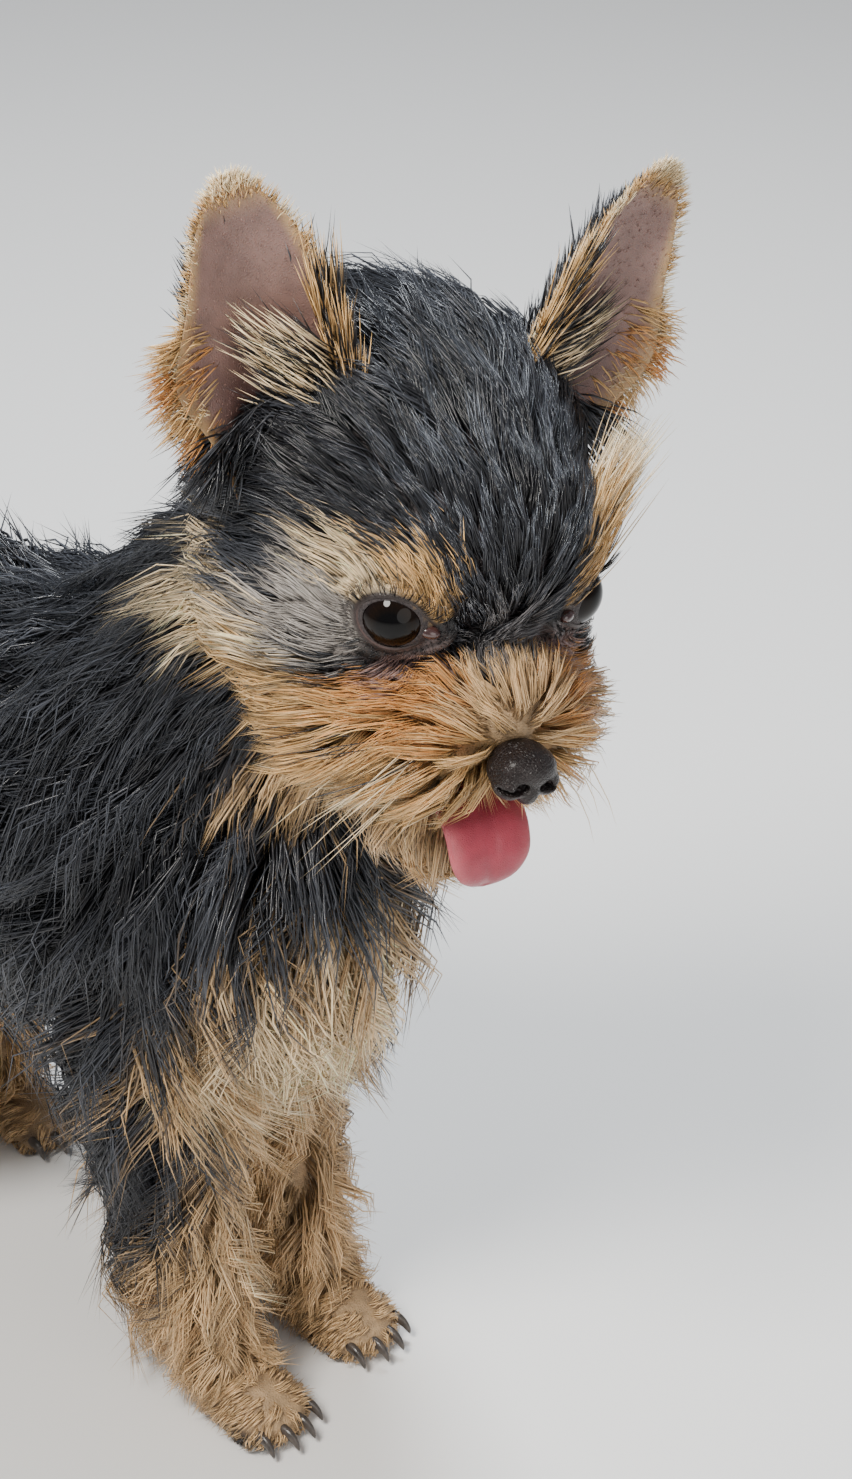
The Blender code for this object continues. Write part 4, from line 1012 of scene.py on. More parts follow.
def eyelid(side):
    """Rings of corners and their tones, from under the lid's edge out over the skin."""
    turn = np.arange(LID_SIDES) * 2 * math.pi / LID_SIDES
    low = smooth(-np.sin(turn), -0.25, 0.35)
    inner = smooth(np.cos(turn), -0.2, 0.9)
    rings, tones = [], []
    for reach, rise in LID_ROLL:
        x, y = lid_line(side, turn, reach)
        rings.append(np.stack([x, y, ball_height(x, y) + 0.1 + rise * LID_THICK], 1))
        rim = mixed(np.tile(UPPER_RIM, (LID_SIDES, 1)), LOWER_RIM, low * (1 - 0.8 * inner) * smooth(reach, -0.3, 0.0))
        tones.append(rim)
    for reach in LID_REACH:
        x, y = lid_line(side, turn, reach)
        fold = (1 - low) * np.exp(-(((reach - 2.1) / 0.45) ** 2)) * 0.35
        wrinkle = low * (np.exp(-(((reach - 1.9) / 0.3) ** 2)) + inner * np.exp(-(((reach - 4.4) / 0.4) ** 2))) * 0.4
        pouch = low * np.exp(-(((reach - 3.2) / 1.3) ** 2)) * 0.35
        least = ball_height(x, y) + 0.1 + LID_THICK * (1 - smooth(reach, 1.5, 4))
        sunk = 1.2 * smooth(reach, 1.6 + 3.4 * low * (0.4 + 0.6 * inner), 4.0 + 3.0 * low)
        height = skin_height(side, x, y) + 0.3 - sunk
        height = np.where(reach < 4, np.maximum(height, least), height) + pouch - fold - wrinkle
        rings.append(np.stack([x, y, height], 1))
        bare = low * (0.25 + 0.75 * inner)
        tone = mixed(np.tile(UPPER_RIM, (LID_SIDES, 1)), POUCH, bare * smooth(reach, 0.2, 0.9))
        under_coat = tone_at(placed(EYE_FRAMES[side], rings[-1])) * 0.3
        tone = mixed(tone, under_coat, (1 - bare) * smooth(reach, 0.5, 1.1))
        # The fold and the wrinkles are darkened towards the crease tone, a painted shade in the creases.
        tones.append(mixed(tone, CREASE_SHADE, np.clip((fold + wrinkle) * 2.6, 0, 0.95)))
    for ring in (rings[-1], rings[0]):
        rings.append(ring - (0, 0, 2.0))
        tones.append(tones[-1])
    return placed(EYE_FRAMES[side], np.stack(rings)), np.concatenate(tones)


lids = {side: eyelid(side) for side in (1, -1)}
eyelids = outward(shape("eyelids", *several([joined(rows, loop=True) for rows, _ in lids.values()])))
store_colour(eyelids.data, "skin_colour", np.concatenate([tones for _, tones in lids.values()]))
lid_material, lid_shader = plain_material("eyelid skin", (0.15, 0.11, 0.1), 0.5)
add_mottling(lid_material, lid_shader, attribute_colour(lid_material, "skin_colour"), 700, 0.2)
add_pebbles(lid_material, lid_shader, 2200, 0.4, 0.05)
dressed(eyelids, lid_material, "ear_skin")

# %% [markdown]
# In the inner corner of each eye sits a small moist bump. It fills the pit between ball and lids.

# %% Inner corners of the eyes
BUMP_AT = (7.1, -0.7, 4.3)
BUMP_SIZE = (2.2, 1.3, 1.5)
bumps = [ball((-side * BUMP_AT[0], *BUMP_AT[1:]), BUMP_SIZE, EYE_FRAMES[side]) for side in (1, -1)]
corner_bumps = balls_object("eye_corners", bumps)
bump_material, bump_shader = plain_material("moist eye corner", (0.05, 0.022, 0.02), 0.2)
bump_shader.inputs["Coat Weight"].default_value = 0.6
add_mottling(bump_material, bump_shader, (0.05, 0.022, 0.02), 900, 0.3)
dressed(corner_bumps, bump_material, "ear_skin")

# %% [markdown]
# ## Nose
# Nose leather is a pad with two comma-shaped nostrils, a groove down its middle and a pebbled surface. It is
# made as the skin was, from rounded masses cut by others, but with a voxel four times finer.

# %% Nose
NOSE_VOXEL = 0.32
NOSE_MASSES = (
    ((0, 0, 0), (5.6, 6.7, 5.4)),
    ((1.8, 0, 1.4), (4.5, 6.2, 4.2)),
    ((2.6, 3.9, -1.2), (3.6, 3.2, 3.0)),
    ((3.4, 0, -2.2), (3.3, 2.1, 3.4)),
    ((-1.0, 0, -4.4), (3.6, 2.2, 3.6)),
)
NOSE_CUTS = (
    ((6.4, 3.1, -0.5), (3.0, 1.55, 1.35), 28),
    ((4.6, 5.3, -1.3), (2.6, 2.2, 0.55), 28),
)
PHILTRUM_CUT = ((6.6, 0, -4.0), (2.2, 0.28, 4.6))


def nose_ball(centre, radii, tilt=0):
    return ball(tuple(NOSE_CENTRE + Vector(centre)), radii, HEAD, tilt)


def both_sides(places):
    """Every place, and again on the other side where it is off the middle."""
    for (x, y, z), *more in places:
        for side in (1, -1) if y else (1,):
            yield side, (x, side * y, z), *more


nose = balls_object("shown_nose", [nose_ball(centre, radii) for _, centre, radii in both_sides(NOSE_MASSES)])
nose = applied(nose, "REMESH", mode="VOXEL", voxel_size=0.5 * MM)
nose = applied(nose, "SMOOTH", factor=0.5, iterations=6)
for side, centre, radii, tilt in both_sides(NOSE_CUTS):
    nose = subtract(nose, balls_object("cutter", [nose_ball(centre, radii, side * tilt)]))
nose = subtract(nose, balls_object("cutter", [nose_ball(*PHILTRUM_CUT)]))
nose = applied(nose, "REMESH", mode="VOXEL", voxel_size=NOSE_VOXEL * MM)
nose = applied(nose, "SMOOTH", factor=0.5, iterations=3)
nose_material, nose_shader = plain_material("nose leather", (0.012, 0.008, 0.008), 0.38)
nose_shader.inputs["Coat Weight"].default_value = 0.12
nose_shader.inputs["Coat Roughness"].default_value = 0.2
nose_shader.inputs["Specular IOR Level"].default_value = 0.3
add_mottling(nose_material, nose_shader, (0.013, 0.0085, 0.0080), 500, 0.3)
add_pebbles(nose_material, nose_shader, 1500, 0.3, 0.16)
dressed(nose, nose_material, "nose_leather", ["nose"])

# %% [markdown]
# ## Tongue
# The tongue lies in the open mouth and hangs over the lower lip. It is a row of flat rings along a bent line,
# hollow along its middle and rounded at the tip, with a fine velvet relief and a wet gloss.

# %% Tongue
TONGUE_LINE = (
    (18, -30.6, 8.5, 2.2),
    (34, -31.4, 9.0, 2.4),
    (45, -32.6, 9.5, 2.5),
    (51.5, -35.6, 9.5, 2.4),
    (54.6, -39.4, 8.8, 2.2),
    (55.8, -42.8, 6.2, 1.7),
    (56.0, -45.2, 0.3, 0.3),
)
TONGUE_ROWS = 64
TONGUE_SIDES = 40
TONGUE_HOLLOW = 1.3
TONGUE_GROOVE = (0.5, 1.3)


def along_line(table, count):
    """Rows of a table read at many even places along its first two columns, by smooth curves."""
    table = np.array(table, float)
    steps = np.linalg.norm(np.diff(table[:, :2], axis=0), axis=1)
    run = np.concatenate([[0], np.cumsum(steps)]) / steps.sum()
    spots = np.linspace(0, 1, count)
    index = np.clip(np.searchsorted(run, spots, side="right") - 1, 0, len(run) - 2)
    share = ((spots - run[index]) / (run[index + 1] - run[index]))[:, None]
    slope = np.gradient(table, run, axis=0)
    span = (run[index + 1] - run[index])[:, None]
    a, b, u, v = table[index], table[index + 1], slope[index] * span, slope[index + 1] * span
    s = share
    return a * (2 * s**3 - 3 * s**2 + 1) + u * (s**3 - 2 * s**2 + s) + b * (3 * s**2 - 2 * s**3) + v * (s**3 - s**2)


def tongue_rows():
    table = [(x, z, half**2, thick) for x, z, half, thick in TONGUE_LINE]
    line = along_line(table, TONGUE_ROWS)
    half, thick = np.sqrt(np.clip(line[:, 2], 0.02, None)), np.clip(line[:, 3], 0.25, None)
    ahead = unit(np.gradient(line[:, :2], axis=0))
    turn = np.arange(TONGUE_SIDES) * 2 * math.pi / TONGUE_SIDES
    across = half[:, None] * np.cos(turn)
    lift = thick[:, None] * np.sin(turn)
    depth, width = TONGUE_GROOVE
    top = smooth(lift, 0, 0.8)
    lift = lift + TONGUE_HOLLOW * (across / 9.5) ** 2 - top * depth * np.exp(-((across / width) ** 2))
    x = line[:, :1] - ahead[:, 1:] * lift
    z = line[:, 1:2] + ahead[:, :1] * lift
    return np.stack([x, across, z], -1), top, np.abs(across) / half[:, None]


rows, _, tongue_edge = tongue_rows()
tongue = outward(shape("shown_tongue", *joined(placed(HEAD, rows))))
TONGUE_MIDDLE = np.array((0.30, 0.038, 0.058))
TONGUE_EDGE = np.array((0.40, 0.080, 0.098))
edge_share = smooth(tongue_edge, 0.55, 1.0).ravel()
tongue_tones = np.tile(TONGUE_MIDDLE, (rows.shape[0] * rows.shape[1], 1))
store_colour(tongue.data, "tongue_colour", mixed(tongue_tones, TONGUE_EDGE, edge_share))
tongue_material, tongue_shader = plain_material("wet tongue", (0.45, 0.09, 0.11), 0.38)
tongue_shader.inputs["Coat Weight"].default_value = 0.3
tongue_shader.inputs["Coat Roughness"].default_value = 0.22
tongue_shader.inputs["Specular IOR Level"].default_value = 0.3
tongue_shader.inputs["Subsurface Weight"].default_value = 0.12
tongue_shader.inputs["Subsurface Scale"].default_value = 0.002
add_mottling(tongue_material, tongue_shader, attribute_colour(tongue_material, "tongue_colour"), 350, 0.12)
add_pebbles(tongue_material, tongue_shader, 2600, 0.5, 0.07)
dressed(tongue, tongue_material, "tongue_pink", ["tongue"])

# %% [markdown]
# ## Ears
# An ear is a thin cupped leaf of gristle under skin. One formula gives its middle sheet, from the root (0) to
# the tip (1) and from the inner edge (-1) to the outer (1). Two copies of the sheet, a little apart and rounded
# together at the rim, are the ear. The outer edge flares low down, and soft ridges run into the cup.

# %% Ears
EAR_BASE = Vector((-5, 29, 22))
EAR_TIP = Vector((-9, 49.5, 69))
EAR_HALF_WIDTH = 19.0
EAR_SUNK = 12
EAR_BACK = 5
EAR_LONG = (EAR_TIP - EAR_BASE).length
EAR_LOBE = {1: 0.44, -1: 0.34}
EAR_THICK = 1.7
EAR_ROWS = 64
EAR_COLUMNS = 40
EAR_SKIN = np.array((0.215, 0.128, 0.108))
# Painted shade: the deep lower part of the ear's cup is painted darker.
EAR_CUP_SHADE = np.array((0.075, 0.034, 0.030))
EAR_RIM = np.array((0.38, 0.24, 0.12))
EAR_BEHIND = np.array((0.020, 0.018, 0.018))


def ear_frame(side):
    """A frame at the ear's root: X runs to its outer edge, Y looks into its cup and Z runs to its tip."""
    mirror = Matrix.Diagonal((1, side, 1, 1)).to_3x3()
    root, tip = mirror @ EAR_BASE, mirror @ EAR_TIP
    up = (tip - root).normalized()
    face = Vector((0.99, side * 0.08, 0))
    face = (face - up * face.dot(up)).normalized()
    return HEAD @ Matrix.Translation(root) @ Matrix((face.cross(up) * -side, face, up)).transposed().to_4x4()


EAR_FRAMES = {side: ear_frame(side) for side in (1, -1)}


def ear_sheet(side, share, out):
    """The middle sheet of an ear in its frame."""
    leaf = np.maximum(0.004, 1 - share**2.4) ** 0.6
    half = EAR_HALF_WIDTH * (1 - 0.14 * (1 - share)) * leaf
    lobe = 1 + EAR_LOBE[side] * np.exp(-(((share - 0.46) / 0.17) ** 2)) * smooth(out, 0.2, 1)
    curl = 1.2 - 0.75 * share
    turn = out * curl
    bend = half / curl
    ridges = 0.7 * np.exp(-(((share - 0.3) / 0.2) ** 2)) * np.cos(out * 9 + 0.6) * (1 - np.abs(out) ** 3)
    cup = bend * (1 - np.cos(turn)) - EAR_BACK + ridges
    return np.stack([bend * np.sin(turn) * lobe, cup, -EAR_SUNK + share * (EAR_LONG + EAR_SUNK)], -1)


def ear_surface(side, share, out, front):
    """Points on the front (1) or back (-1) of an ear, and their facing, in body sizes."""
    small = 1e-3
    middle = ear_sheet(side, share, out)
    ahead = ear_sheet(side, np.minimum(share + small, 0.9999), out)
    along = ahead - ear_sheet(side, np.minimum(share, 0.9999 - small), out)
    across = ear_sheet(side, share, out + small) - ear_sheet(side, share, out - small)
    facing = unit(np.cross(along, across)) * front
    thick = EAR_THICK / 2 * np.sqrt(np.clip(1 - np.abs(out) ** 4, 0, 1)) * np.clip((1 - share) * 14, 0.05, 1) ** 0.5
    rotation = np.array(EAR_FRAMES[side].to_3x3())
    points = placed(EAR_FRAMES[side], middle + facing * thick[..., None])
    return points, facing @ rotation.T


def ear_mesh(side):
    share = (1 - (1 - np.linspace(0, 1, EAR_ROWS)) ** 1.7)[:, None] * np.ones((1, EAR_COLUMNS))
    out = np.sin(np.linspace(-1, 1, EAR_COLUMNS) * math.pi / 2)[None] * np.ones((EAR_ROWS, 1))
    front, _ = ear_surface(side, share, out, 1)
    back, _ = ear_surface(side, share, out, -1)
    rim = np.maximum(smooth(np.abs(out), 0.74, 0.97), smooth(share, 0.86, 0.98))
    # Painted shade in the deep lower cup, darker towards the root and the middle.
    cup_shade = (1 - smooth(share, 0.22, 0.6)) * (1 - smooth(np.abs(out - 0.1), 0.3, 0.9))
    tone = mixed(np.tile(EAR_SKIN, (out.size, 1)), EAR_CUP_SHADE, cup_shade.ravel())
    tone = mixed(tone, EAR_RIM, rim.ravel()).reshape(*out.shape, 3)
    behind = np.broadcast_to(EAR_BEHIND, tone.shape)
    rows = np.concatenate([front, back[:, ::-1]], 1)
    return joined(rows), np.concatenate([tone, behind], 1).reshape(-1, 3)


ear_material, ear_shader = plain_material("ear skin", (0.33, 0.2, 0.17), 0.55)
ear_shader.inputs["Subsurface Weight"].default_value = 0.1
ear_shader.inputs["Subsurface Scale"].default_value = 0.002
add_mottling(ear_material, ear_shader, attribute_colour(ear_material, "skin_colour"), 160, 0.22)
add_pebbles(ear_material, ear_shader, 1800, 0.5, 0.06)
for side, name in ((1, "ear_left"), (-1, "ear_right")):
    parts, tones = ear_mesh(side)
    shown = outward(shape("shown_" + name, *parts))
    store_colour(shown.data, "skin_colour", tones)
    dressed(shown, ear_material, "ear_skin", [name])

# %% [markdown]
# ## Claws
# Each toe ends in a short claw of dark horn that curves down to the floor, round in section and drawn to a
# blunt point.

# %% Claws
CLAW_LINE = (
    (1.5, 0.4, 1.45),
    (4.2, 0.7, 1.45),
    (6.2, 0.3, 1.3),
    (7.8, -0.8, 0.95),
    (8.8, -2.3, 0.45),
    (9.0, -2.8, 0.12),
)
CLAW_FLATNESS = 0.8
CLAW_ROWS = 18
CLAW_SIDES = 14


def claw(toe, degrees):
    line = along_line(CLAW_LINE, CLAW_ROWS)
    ahead = unit(np.gradient(line[:, :2], axis=0))
    turn = np.arange(CLAW_SIDES) * 2 * math.pi / CLAW_SIDES
    radius = np.clip(line[:, 2:], 0.1, None)
    up = radius * np.sin(turn)
    across = CLAW_FLATNESS * radius * np.cos(turn)
    rows = np.stack([line[:, :1] - ahead[:, 1:] * up, across, line[:, 1:2] + ahead[:, :1] * up], -1)
    return joined(placed(Matrix.Translation(toe) @ turned(degrees, "Z"), rows))


PAWS = list(FORE_PAWS.values()) + list(HIND_PAWS.values())
claws = outward(shape("claws", *several([claw(toe, 5 * step) for paw in PAWS for toe, step in toe_places(paw)])))
claw_material, claw_shader = plain_material("claw horn", (0.05, 0.04, 0.035), 0.33)
claw_shader.inputs["Coat Weight"].default_value = 0.2
add_mottling(claw_material, claw_shader, (0.045, 0.036, 0.030), 450, 0.5)
add_pebbles(claw_material, claw_shader, 3000, 0.6, 0.03)
dressed(claws, claw_material, "nose_leather")
print("claw corners:", len(claws.data.vertices))

# %% [markdown]
# ## Growing tufts
# Each tuft is a closed, three-sided spike that bends along the coat's lie. First come the locks' middle lines,
# combed step by step over the skin. Then the tufts grow between them, and each leans towards its lock's line
# near the tip, which gathers the coat into the pointed wisps of real fur.

# %% Skin surface for growing
SEED = 5
chance = np.random.default_rng(SEED)


def mesh_arrays(mesh):
    """Triangles of a mesh as arrays: corners of each triangle and the smooth normals there, in body sizes."""
    mesh.calc_loop_triangles()
    corners = np.empty(len(mesh.vertices) * 3)
    mesh.vertices.foreach_get("co", corners)
    normals = np.empty(len(mesh.vertices) * 3)
    mesh.vertices.foreach_get("normal", normals)
    index = np.empty(len(mesh.loop_triangles) * 3, np.int32)
    mesh.loop_triangles.foreach_get("vertices", index)
    return corners.reshape(-1, 3) / MM - np.array(SHIFT), normals.reshape(-1, 3), index.reshape(-1, 3)


skin_points, skin_normals, skin_index = mesh_arrays(skin.data)
skin_tree = BVHTree.FromPolygons(skin_points.tolist(), skin_index.tolist())
skin_middles = skin_points[skin_index].mean(1)
skin_areas = np.linalg.norm(
    np.cross(
        skin_points[skin_index[:, 1]] - skin_points[skin_index[:, 0]],
        skin_points[skin_index[:, 2]] - skin_points[skin_index[:, 0]],
    ),
    axis=1,
)
skin_areas /= 2
skin_coat = coat_at(skin_middles)
skin_hairy = hairy(skin_middles)
print("skin area:", round(float(skin_areas.sum()) / 100), "square centimetres")


def scattered(density):
    """Random places on the skin, with normals, from a density in tufts per square millimetre of each face."""
    expected = skin_areas * density * skin_hairy
    counts = np.floor(expected + chance.random(len(expected))).astype(int)
    face = np.repeat(np.arange(len(counts)), counts)
    a, b = np.sort(chance.random((2, len(face))), axis=0)
    shares = np.stack([a, b - a, 1 - b], 1)[:, :, None]
    corner = skin_index[face]
    return (skin_points[corner] * shares).sum(1), unit((skin_normals[corner] * shares).sum(1))


def spread_out(points, spacing):
    """Indices of points that keep their own spacing from those chosen before them."""
    cell = 6.0
    grid = {}
    chosen = []
    for index, (point, apart) in enumerate(zip(points, spacing)):
        key = tuple(int(v // cell) for v in point)
        near = [
            other
            for dx in (-1, 0, 1)
            for dy in (-1, 0, 1)
            for dz in (-1, 0, 1)
            for other in grid.get((key[0] + dx, key[1] + dy, key[2] + dz), ())
        ]
        if not near or ((points[near] - point) ** 2).sum(1).min() > apart**2:
            grid.setdefault(key, []).append(index)
            chosen.append(index)
    return np.array(chosen)


# %% Comb the locks
COMB_STEPS = 6
RISE_POWER = 0.75
GRAVITY = 0.4
TURN = 0.22
AROUND_EYE = 1.3
AROUND_EYE_REACH = 13.0


def around_eyes(points, ahead):
    """Parts the coat above and below each eye, so that no hair crosses it."""
    for side in (1, -1):
        local = in_eye(points, side)
        up = np.array(EYE_FRAMES[side].to_3x3())[:, 1]
        reach = np.linalg.norm(local - (0, 0, EYE_RADIUS), axis=1) / AROUND_EYE_REACH
        strength = AROUND_EYE * np.exp(-(reach**2) * 2) * np.tanh(local[:, 1] / 2.5)
        ahead = ahead + up * strength[:, None]
    return ahead


def nearest_skin(points):
    spots, facing = np.empty_like(points), np.empty_like(points)
    for index, point in enumerate(points):
        spot, normal, _, _ = skin_tree.find_nearest(point)
        spots[index], facing[index] = spot, normal
    return spots, facing


def comb(roots, normals, values):
    """Middle lines of locks: stations from root to tip, and which way is out of the coat at each."""
    length, lift, freedom = values[:, LENGTH], values[:, LIFT], values[:, FREEDOM]
    turn = chance.normal(0, TURN, len(roots))
    here, up = roots.copy(), normals.copy()
    path, ups = [here], [up]
    for step in range(1, COMB_STEPS + 1):
        share = step / COMB_STEPS
        ahead = around_eyes(here, lie(here))
        ahead = unit(ahead - up * (ahead * up).sum(1, keepdims=True))
        ahead += np.cross(up, ahead) * (turn * (1 - 0.6 * share))[:, None]
        ahead[:, 2] -= GRAVITY * freedom * share
        here = here + unit(ahead) * (length / COMB_STEPS)[:, None]
        spot, facing = nearest_skin(here)
        clear = ((here - spot) * facing).sum(1)
        wanted = lift * share**RISE_POWER
        height = np.where(clear < wanted, wanted, wanted + (clear - wanted) * freedom)
        here = spot + facing * height[:, None]
        here[:, 2] = np.maximum(here[:, 2], 0.8)
        up = unit(up + facing)
        path.append(here)
        ups.append(up)
    return np.stack(path, 1), np.stack(ups, 1)


lock_points, lock_normals = scattered(0.5 / np.maximum(skin_coat[:, LOCK_SIZE], 1) ** 2 * 9)
order = chance.permutation(len(lock_points))
lock_points, lock_normals = lock_points[order], lock_normals[order]
lock_values = coat_at(lock_points)
kept = spread_out(lock_points, lock_values[:, LOCK_SIZE] * 0.8)
lock_points, lock_normals, lock_values = lock_points[kept], lock_normals[kept], lock_values[kept]
lock_values = lock_values * np.where(np.arange(7) < 2, chance.uniform(0.85, 1.15, (len(kept), 1)), 1)
lock_path, lock_up = comb(lock_points, lock_normals, lock_values)
print("locks:", len(lock_path))


# %% Grow the tufts
GATHER = 0.72
GATHER_POWER = 1.3
LOOSE = 0.07
FRIZZ = 0.03
WAVES = 1.05
ROOT_DEPTH = 1.0
THICK_SHARE = 0.6
TWIST = 0.7
CLEARANCE = 0.35
FLOOR_CLEAR = 0.3
# Tips of black hair: a lighter blue-grey, partly the coat's own colour and partly a painted sheen.
BLACK_TIP_AND_SHEEN = np.array((0.044, 0.048, 0.058))


def at_stations(values, stations):
    """Values given at even steps from root to tip, read at other stations by straight lines between them."""
    spot = np.array(stations) * COMB_STEPS
    first = np.minimum(spot.astype(int), COMB_STEPS - 1)
    share = (spot - first)[None, :, None]
    return values[:, first] * (1 - share) + values[:, first + 1] * share


lock_finder = KDTree(len(lock_points))
for number, point in enumerate(lock_points):
    lock_finder.insert(point, number)
lock_finder.balance()


def tuft_paths(roots, normals, values, stations):
    """Middle lines of tufts at the stations, each gathered into its lock, waved and kept off the skin."""
    lock = np.array([lock_finder.find(root)[1] for root in roots])
    count = len(roots)
    share = np.array(stations)[None, :, None]
    course = at_stations(lock_path, stations)[lock]
    ups = unit(at_stations(lock_up, stations)[lock])
    size = chance.uniform(0.72, 1.18, (count, 1, 1))
    gather = GATHER * np.clip(values[:, LENGTH] / 30, 0.3, 1)[:, None, None]
    gather = gather * chance.uniform(0.6, 1.2, (count, 1, 1)) * (chance.random((count, 1, 1)) > LOOSE)
    path = roots[:, None] + (course - course[:, :1]) * size
    path += (lock_points[lock] - roots)[:, None] * gather * share**GATHER_POWER
    length = values[:, LENGTH][:, None, None]
    along = unit(course[:, -1] - course[:, 0])
    side = np.cross(normals, along)[:, None]
    phase = lock_phase[lock][:, None, None] + chance.normal(0, 0.4, (count, 1, 1)) + WAVES * 2 * np.pi * share
    wave = values[:, WAVE][:, None, None] * length * share
    path += side * wave * np.sin(phase) + normals[:, None] * wave * 0.5 * np.cos(phase)
    path += chance.normal(0, FRIZZ, (count, 1, 3)) * length * share**1.5
    inner = path[:, 1:].reshape(-1, 3)
    spot, facing = nearest_skin(inner)
    clear = ((inner - spot) * facing).sum(1)
    inner = np.where((clear < CLEARANCE)[:, None], spot + facing * CLEARANCE, inner)
    path[:, 1:] = inner.reshape(count, -1, 3)
    path[:, 0] = roots - normals * ROOT_DEPTH
    path[:, :, 2] = np.maximum(path[:, :, 2], FLOOR_CLEAR + 0.4)
    return path, ups, lock


def spikes(path, ups, width, profile):
    """Corners and faces of closed three-sided spikes, pointed at root and tip, round their middle lines."""
    count, stations, _ = path.shape
    ahead = np.empty_like(path)
    ahead[:, 1:-1] = path[:, 2:] - path[:, :-2]
    ahead[:, 0] = path[:, 1] - path[:, 0]
    ahead[:, -1] = path[:, -1] - path[:, -2]
    ahead = unit(ahead)
    side = unit(np.cross(ahead, ups))
    out = np.cross(side, ahead)
    twist = chance.normal(0, TWIST, (count, 1, 1))
    side, out = side * np.cos(twist) + out * np.sin(twist), out * np.cos(twist) - side * np.sin(twist)
    half = (width[:, None] * np.array(profile)[None] / 2)[:, :, None]
    rings = np.stack([path + side * half, path + out * half * 2 * THICK_SHARE, path - side * half], 2)
    corners = np.concatenate([path[:, :1], rings[:, 1:-1].reshape(count, -1, 3), path[:, -1:]], 1)
    corners[:, :, 2] = np.maximum(corners[:, :, 2], FLOOR_CLEAR)
    quads, threes = [], []
    tip = (stations - 2) * 3 + 1
    for first, second in ((1, 2), (2, 3), (3, 1)):
        threes.append((0, second, first))
        for ring in range(0, tip - 4, 3):
            quads.append((first + ring, second + ring, second + ring + 3, first + ring + 3))
        threes.append((first + tip - 4, second + tip - 4, tip))
    return corners, np.array(quads, int).reshape(-1, 4), np.array(threes)


def spike_mesh(name, corners, quads, threes, colours, patches):
    """A mesh of all the spikes, with their colours and a map to paint them on."""
    count, each, _ = corners.shape
    start = (np.arange(count) * each)[:, None, None]
    loops = np.concatenate([(quads[None] + start).ravel(), (threes[None] + start).ravel()])
    sizes = np.concatenate([np.full(count * len(quads), 4), np.full(count * len(threes), 3)])
    begins = np.concatenate([[0], np.cumsum(sizes)[:-1]])
    mesh = bpy.data.meshes.new(name)
    mesh.vertices.add(count * each)
    mesh.vertices.foreach_set("co", ((corners + np.array(SHIFT)) * MM).astype(np.float32).ravel())
    mesh.loops.add(len(loops))
    mesh.loops.foreach_set("vertex_index", loops.astype(np.int32))
    mesh.polygons.add(len(sizes))
    mesh.polygons.foreach_set("loop_start", begins.astype(np.int32))
    mesh.polygons.foreach_set("loop_total", sizes.astype(np.int32))
    mesh.update(calc_edges=True)
    store_colour(mesh, "coat_colour", colours.reshape(-1, 3))
    layer = mesh.uv_layers.new(name="OFBake")
    layer.data.foreach_set("uv", patches.reshape(-1, 2)[loops].astype(np.float32).ravel())
    obj = bpy.data.objects.new(name, mesh)
    bpy.context.scene.collection.objects.link(obj)
    return obj


print("tufts are ready to grow")

# %% [markdown]
# ## A map of the skin for the tufts
# Colours can be painted on a flat map. A coarse copy of the skin is unwrapped, and
# every tuft gets a tiny patch of that map where its root stands.

# %% Unwrap the skin
PATCH = 0.003
MAP_FACES = 5000


def skin_map():
    flat = bpy.data.objects.new("map", skin.data.copy())
    bpy.context.scene.collection.objects.link(flat)
    flat = applied(flat, "DECIMATE", ratio=MAP_FACES / len(flat.data.polygons))
    flat = applied(flat, "TRIANGULATE")
    bpy.ops.object.select_all(action="DESELECT")
    bpy.context.view_layer.objects.active = flat
    flat.select_set(True)
    bpy.ops.object.mode_set(mode="EDIT")
    bpy.ops.mesh.select_all(action="SELECT")
    bpy.ops.uv.smart_project(angle_limit=math.radians(66), island_margin=0.004)
    bpy.ops.object.mode_set(mode="OBJECT")
    places, _, index = mesh_arrays(flat.data)
    spots = np.empty(len(flat.data.loops) * 2)
    flat.data.uv_layers.active.data.foreach_get("uv", spots)
    bpy.data.objects.remove(flat)
    return places, index, spots.reshape(-1, 3, 2)


map_places, map_index, map_spots = skin_map()
map_tree = BVHTree.FromPolygons(map_places.tolist(), map_index.tolist())


def on_map(points):
    """Each point's place on the map, from the nearest face of the unwrapped skin."""
    spots, faces = np.empty_like(points), np.empty(len(points), int)
    for number, point in enumerate(points):
        spots[number], _, faces[number], _ = map_tree.find_nearest(point)
    a, b, c = np.moveaxis(map_places[map_index[faces]], 1, 0)
    whole = np.cross(b - a, c - a)
    size = (whole**2).sum(1)
    second = (np.cross(spots - a, c - a) * whole).sum(1) / size
    third = (np.cross(b - a, spots - a) * whole).sum(1) / size
    shares = np.stack([1 - second - third, second, third], 1)
    return (map_spots[faces] * shares[:, :, None]).sum(1)


print("map faces:", len(map_index))

# %% [markdown]
# ## The coat's finish
# Hair is smooth along its length, so it has a soft gloss. Its colour is stored at the corners of each tuft:
# the tone of its place, darker at the root, lighter at the tip, and a little different from tuft to tuft.
# On black hair the lighter tips are partly the coat's own blue-grey and partly a painted sheen.

# %% Coat finish
coat_material, coat_shader = plain_material("long coat", (0.1, 0.08, 0.06), 0.28)
add_mottling(coat_material, coat_shader, attribute_colour(coat_material, "coat_colour"), 900, 0.12)


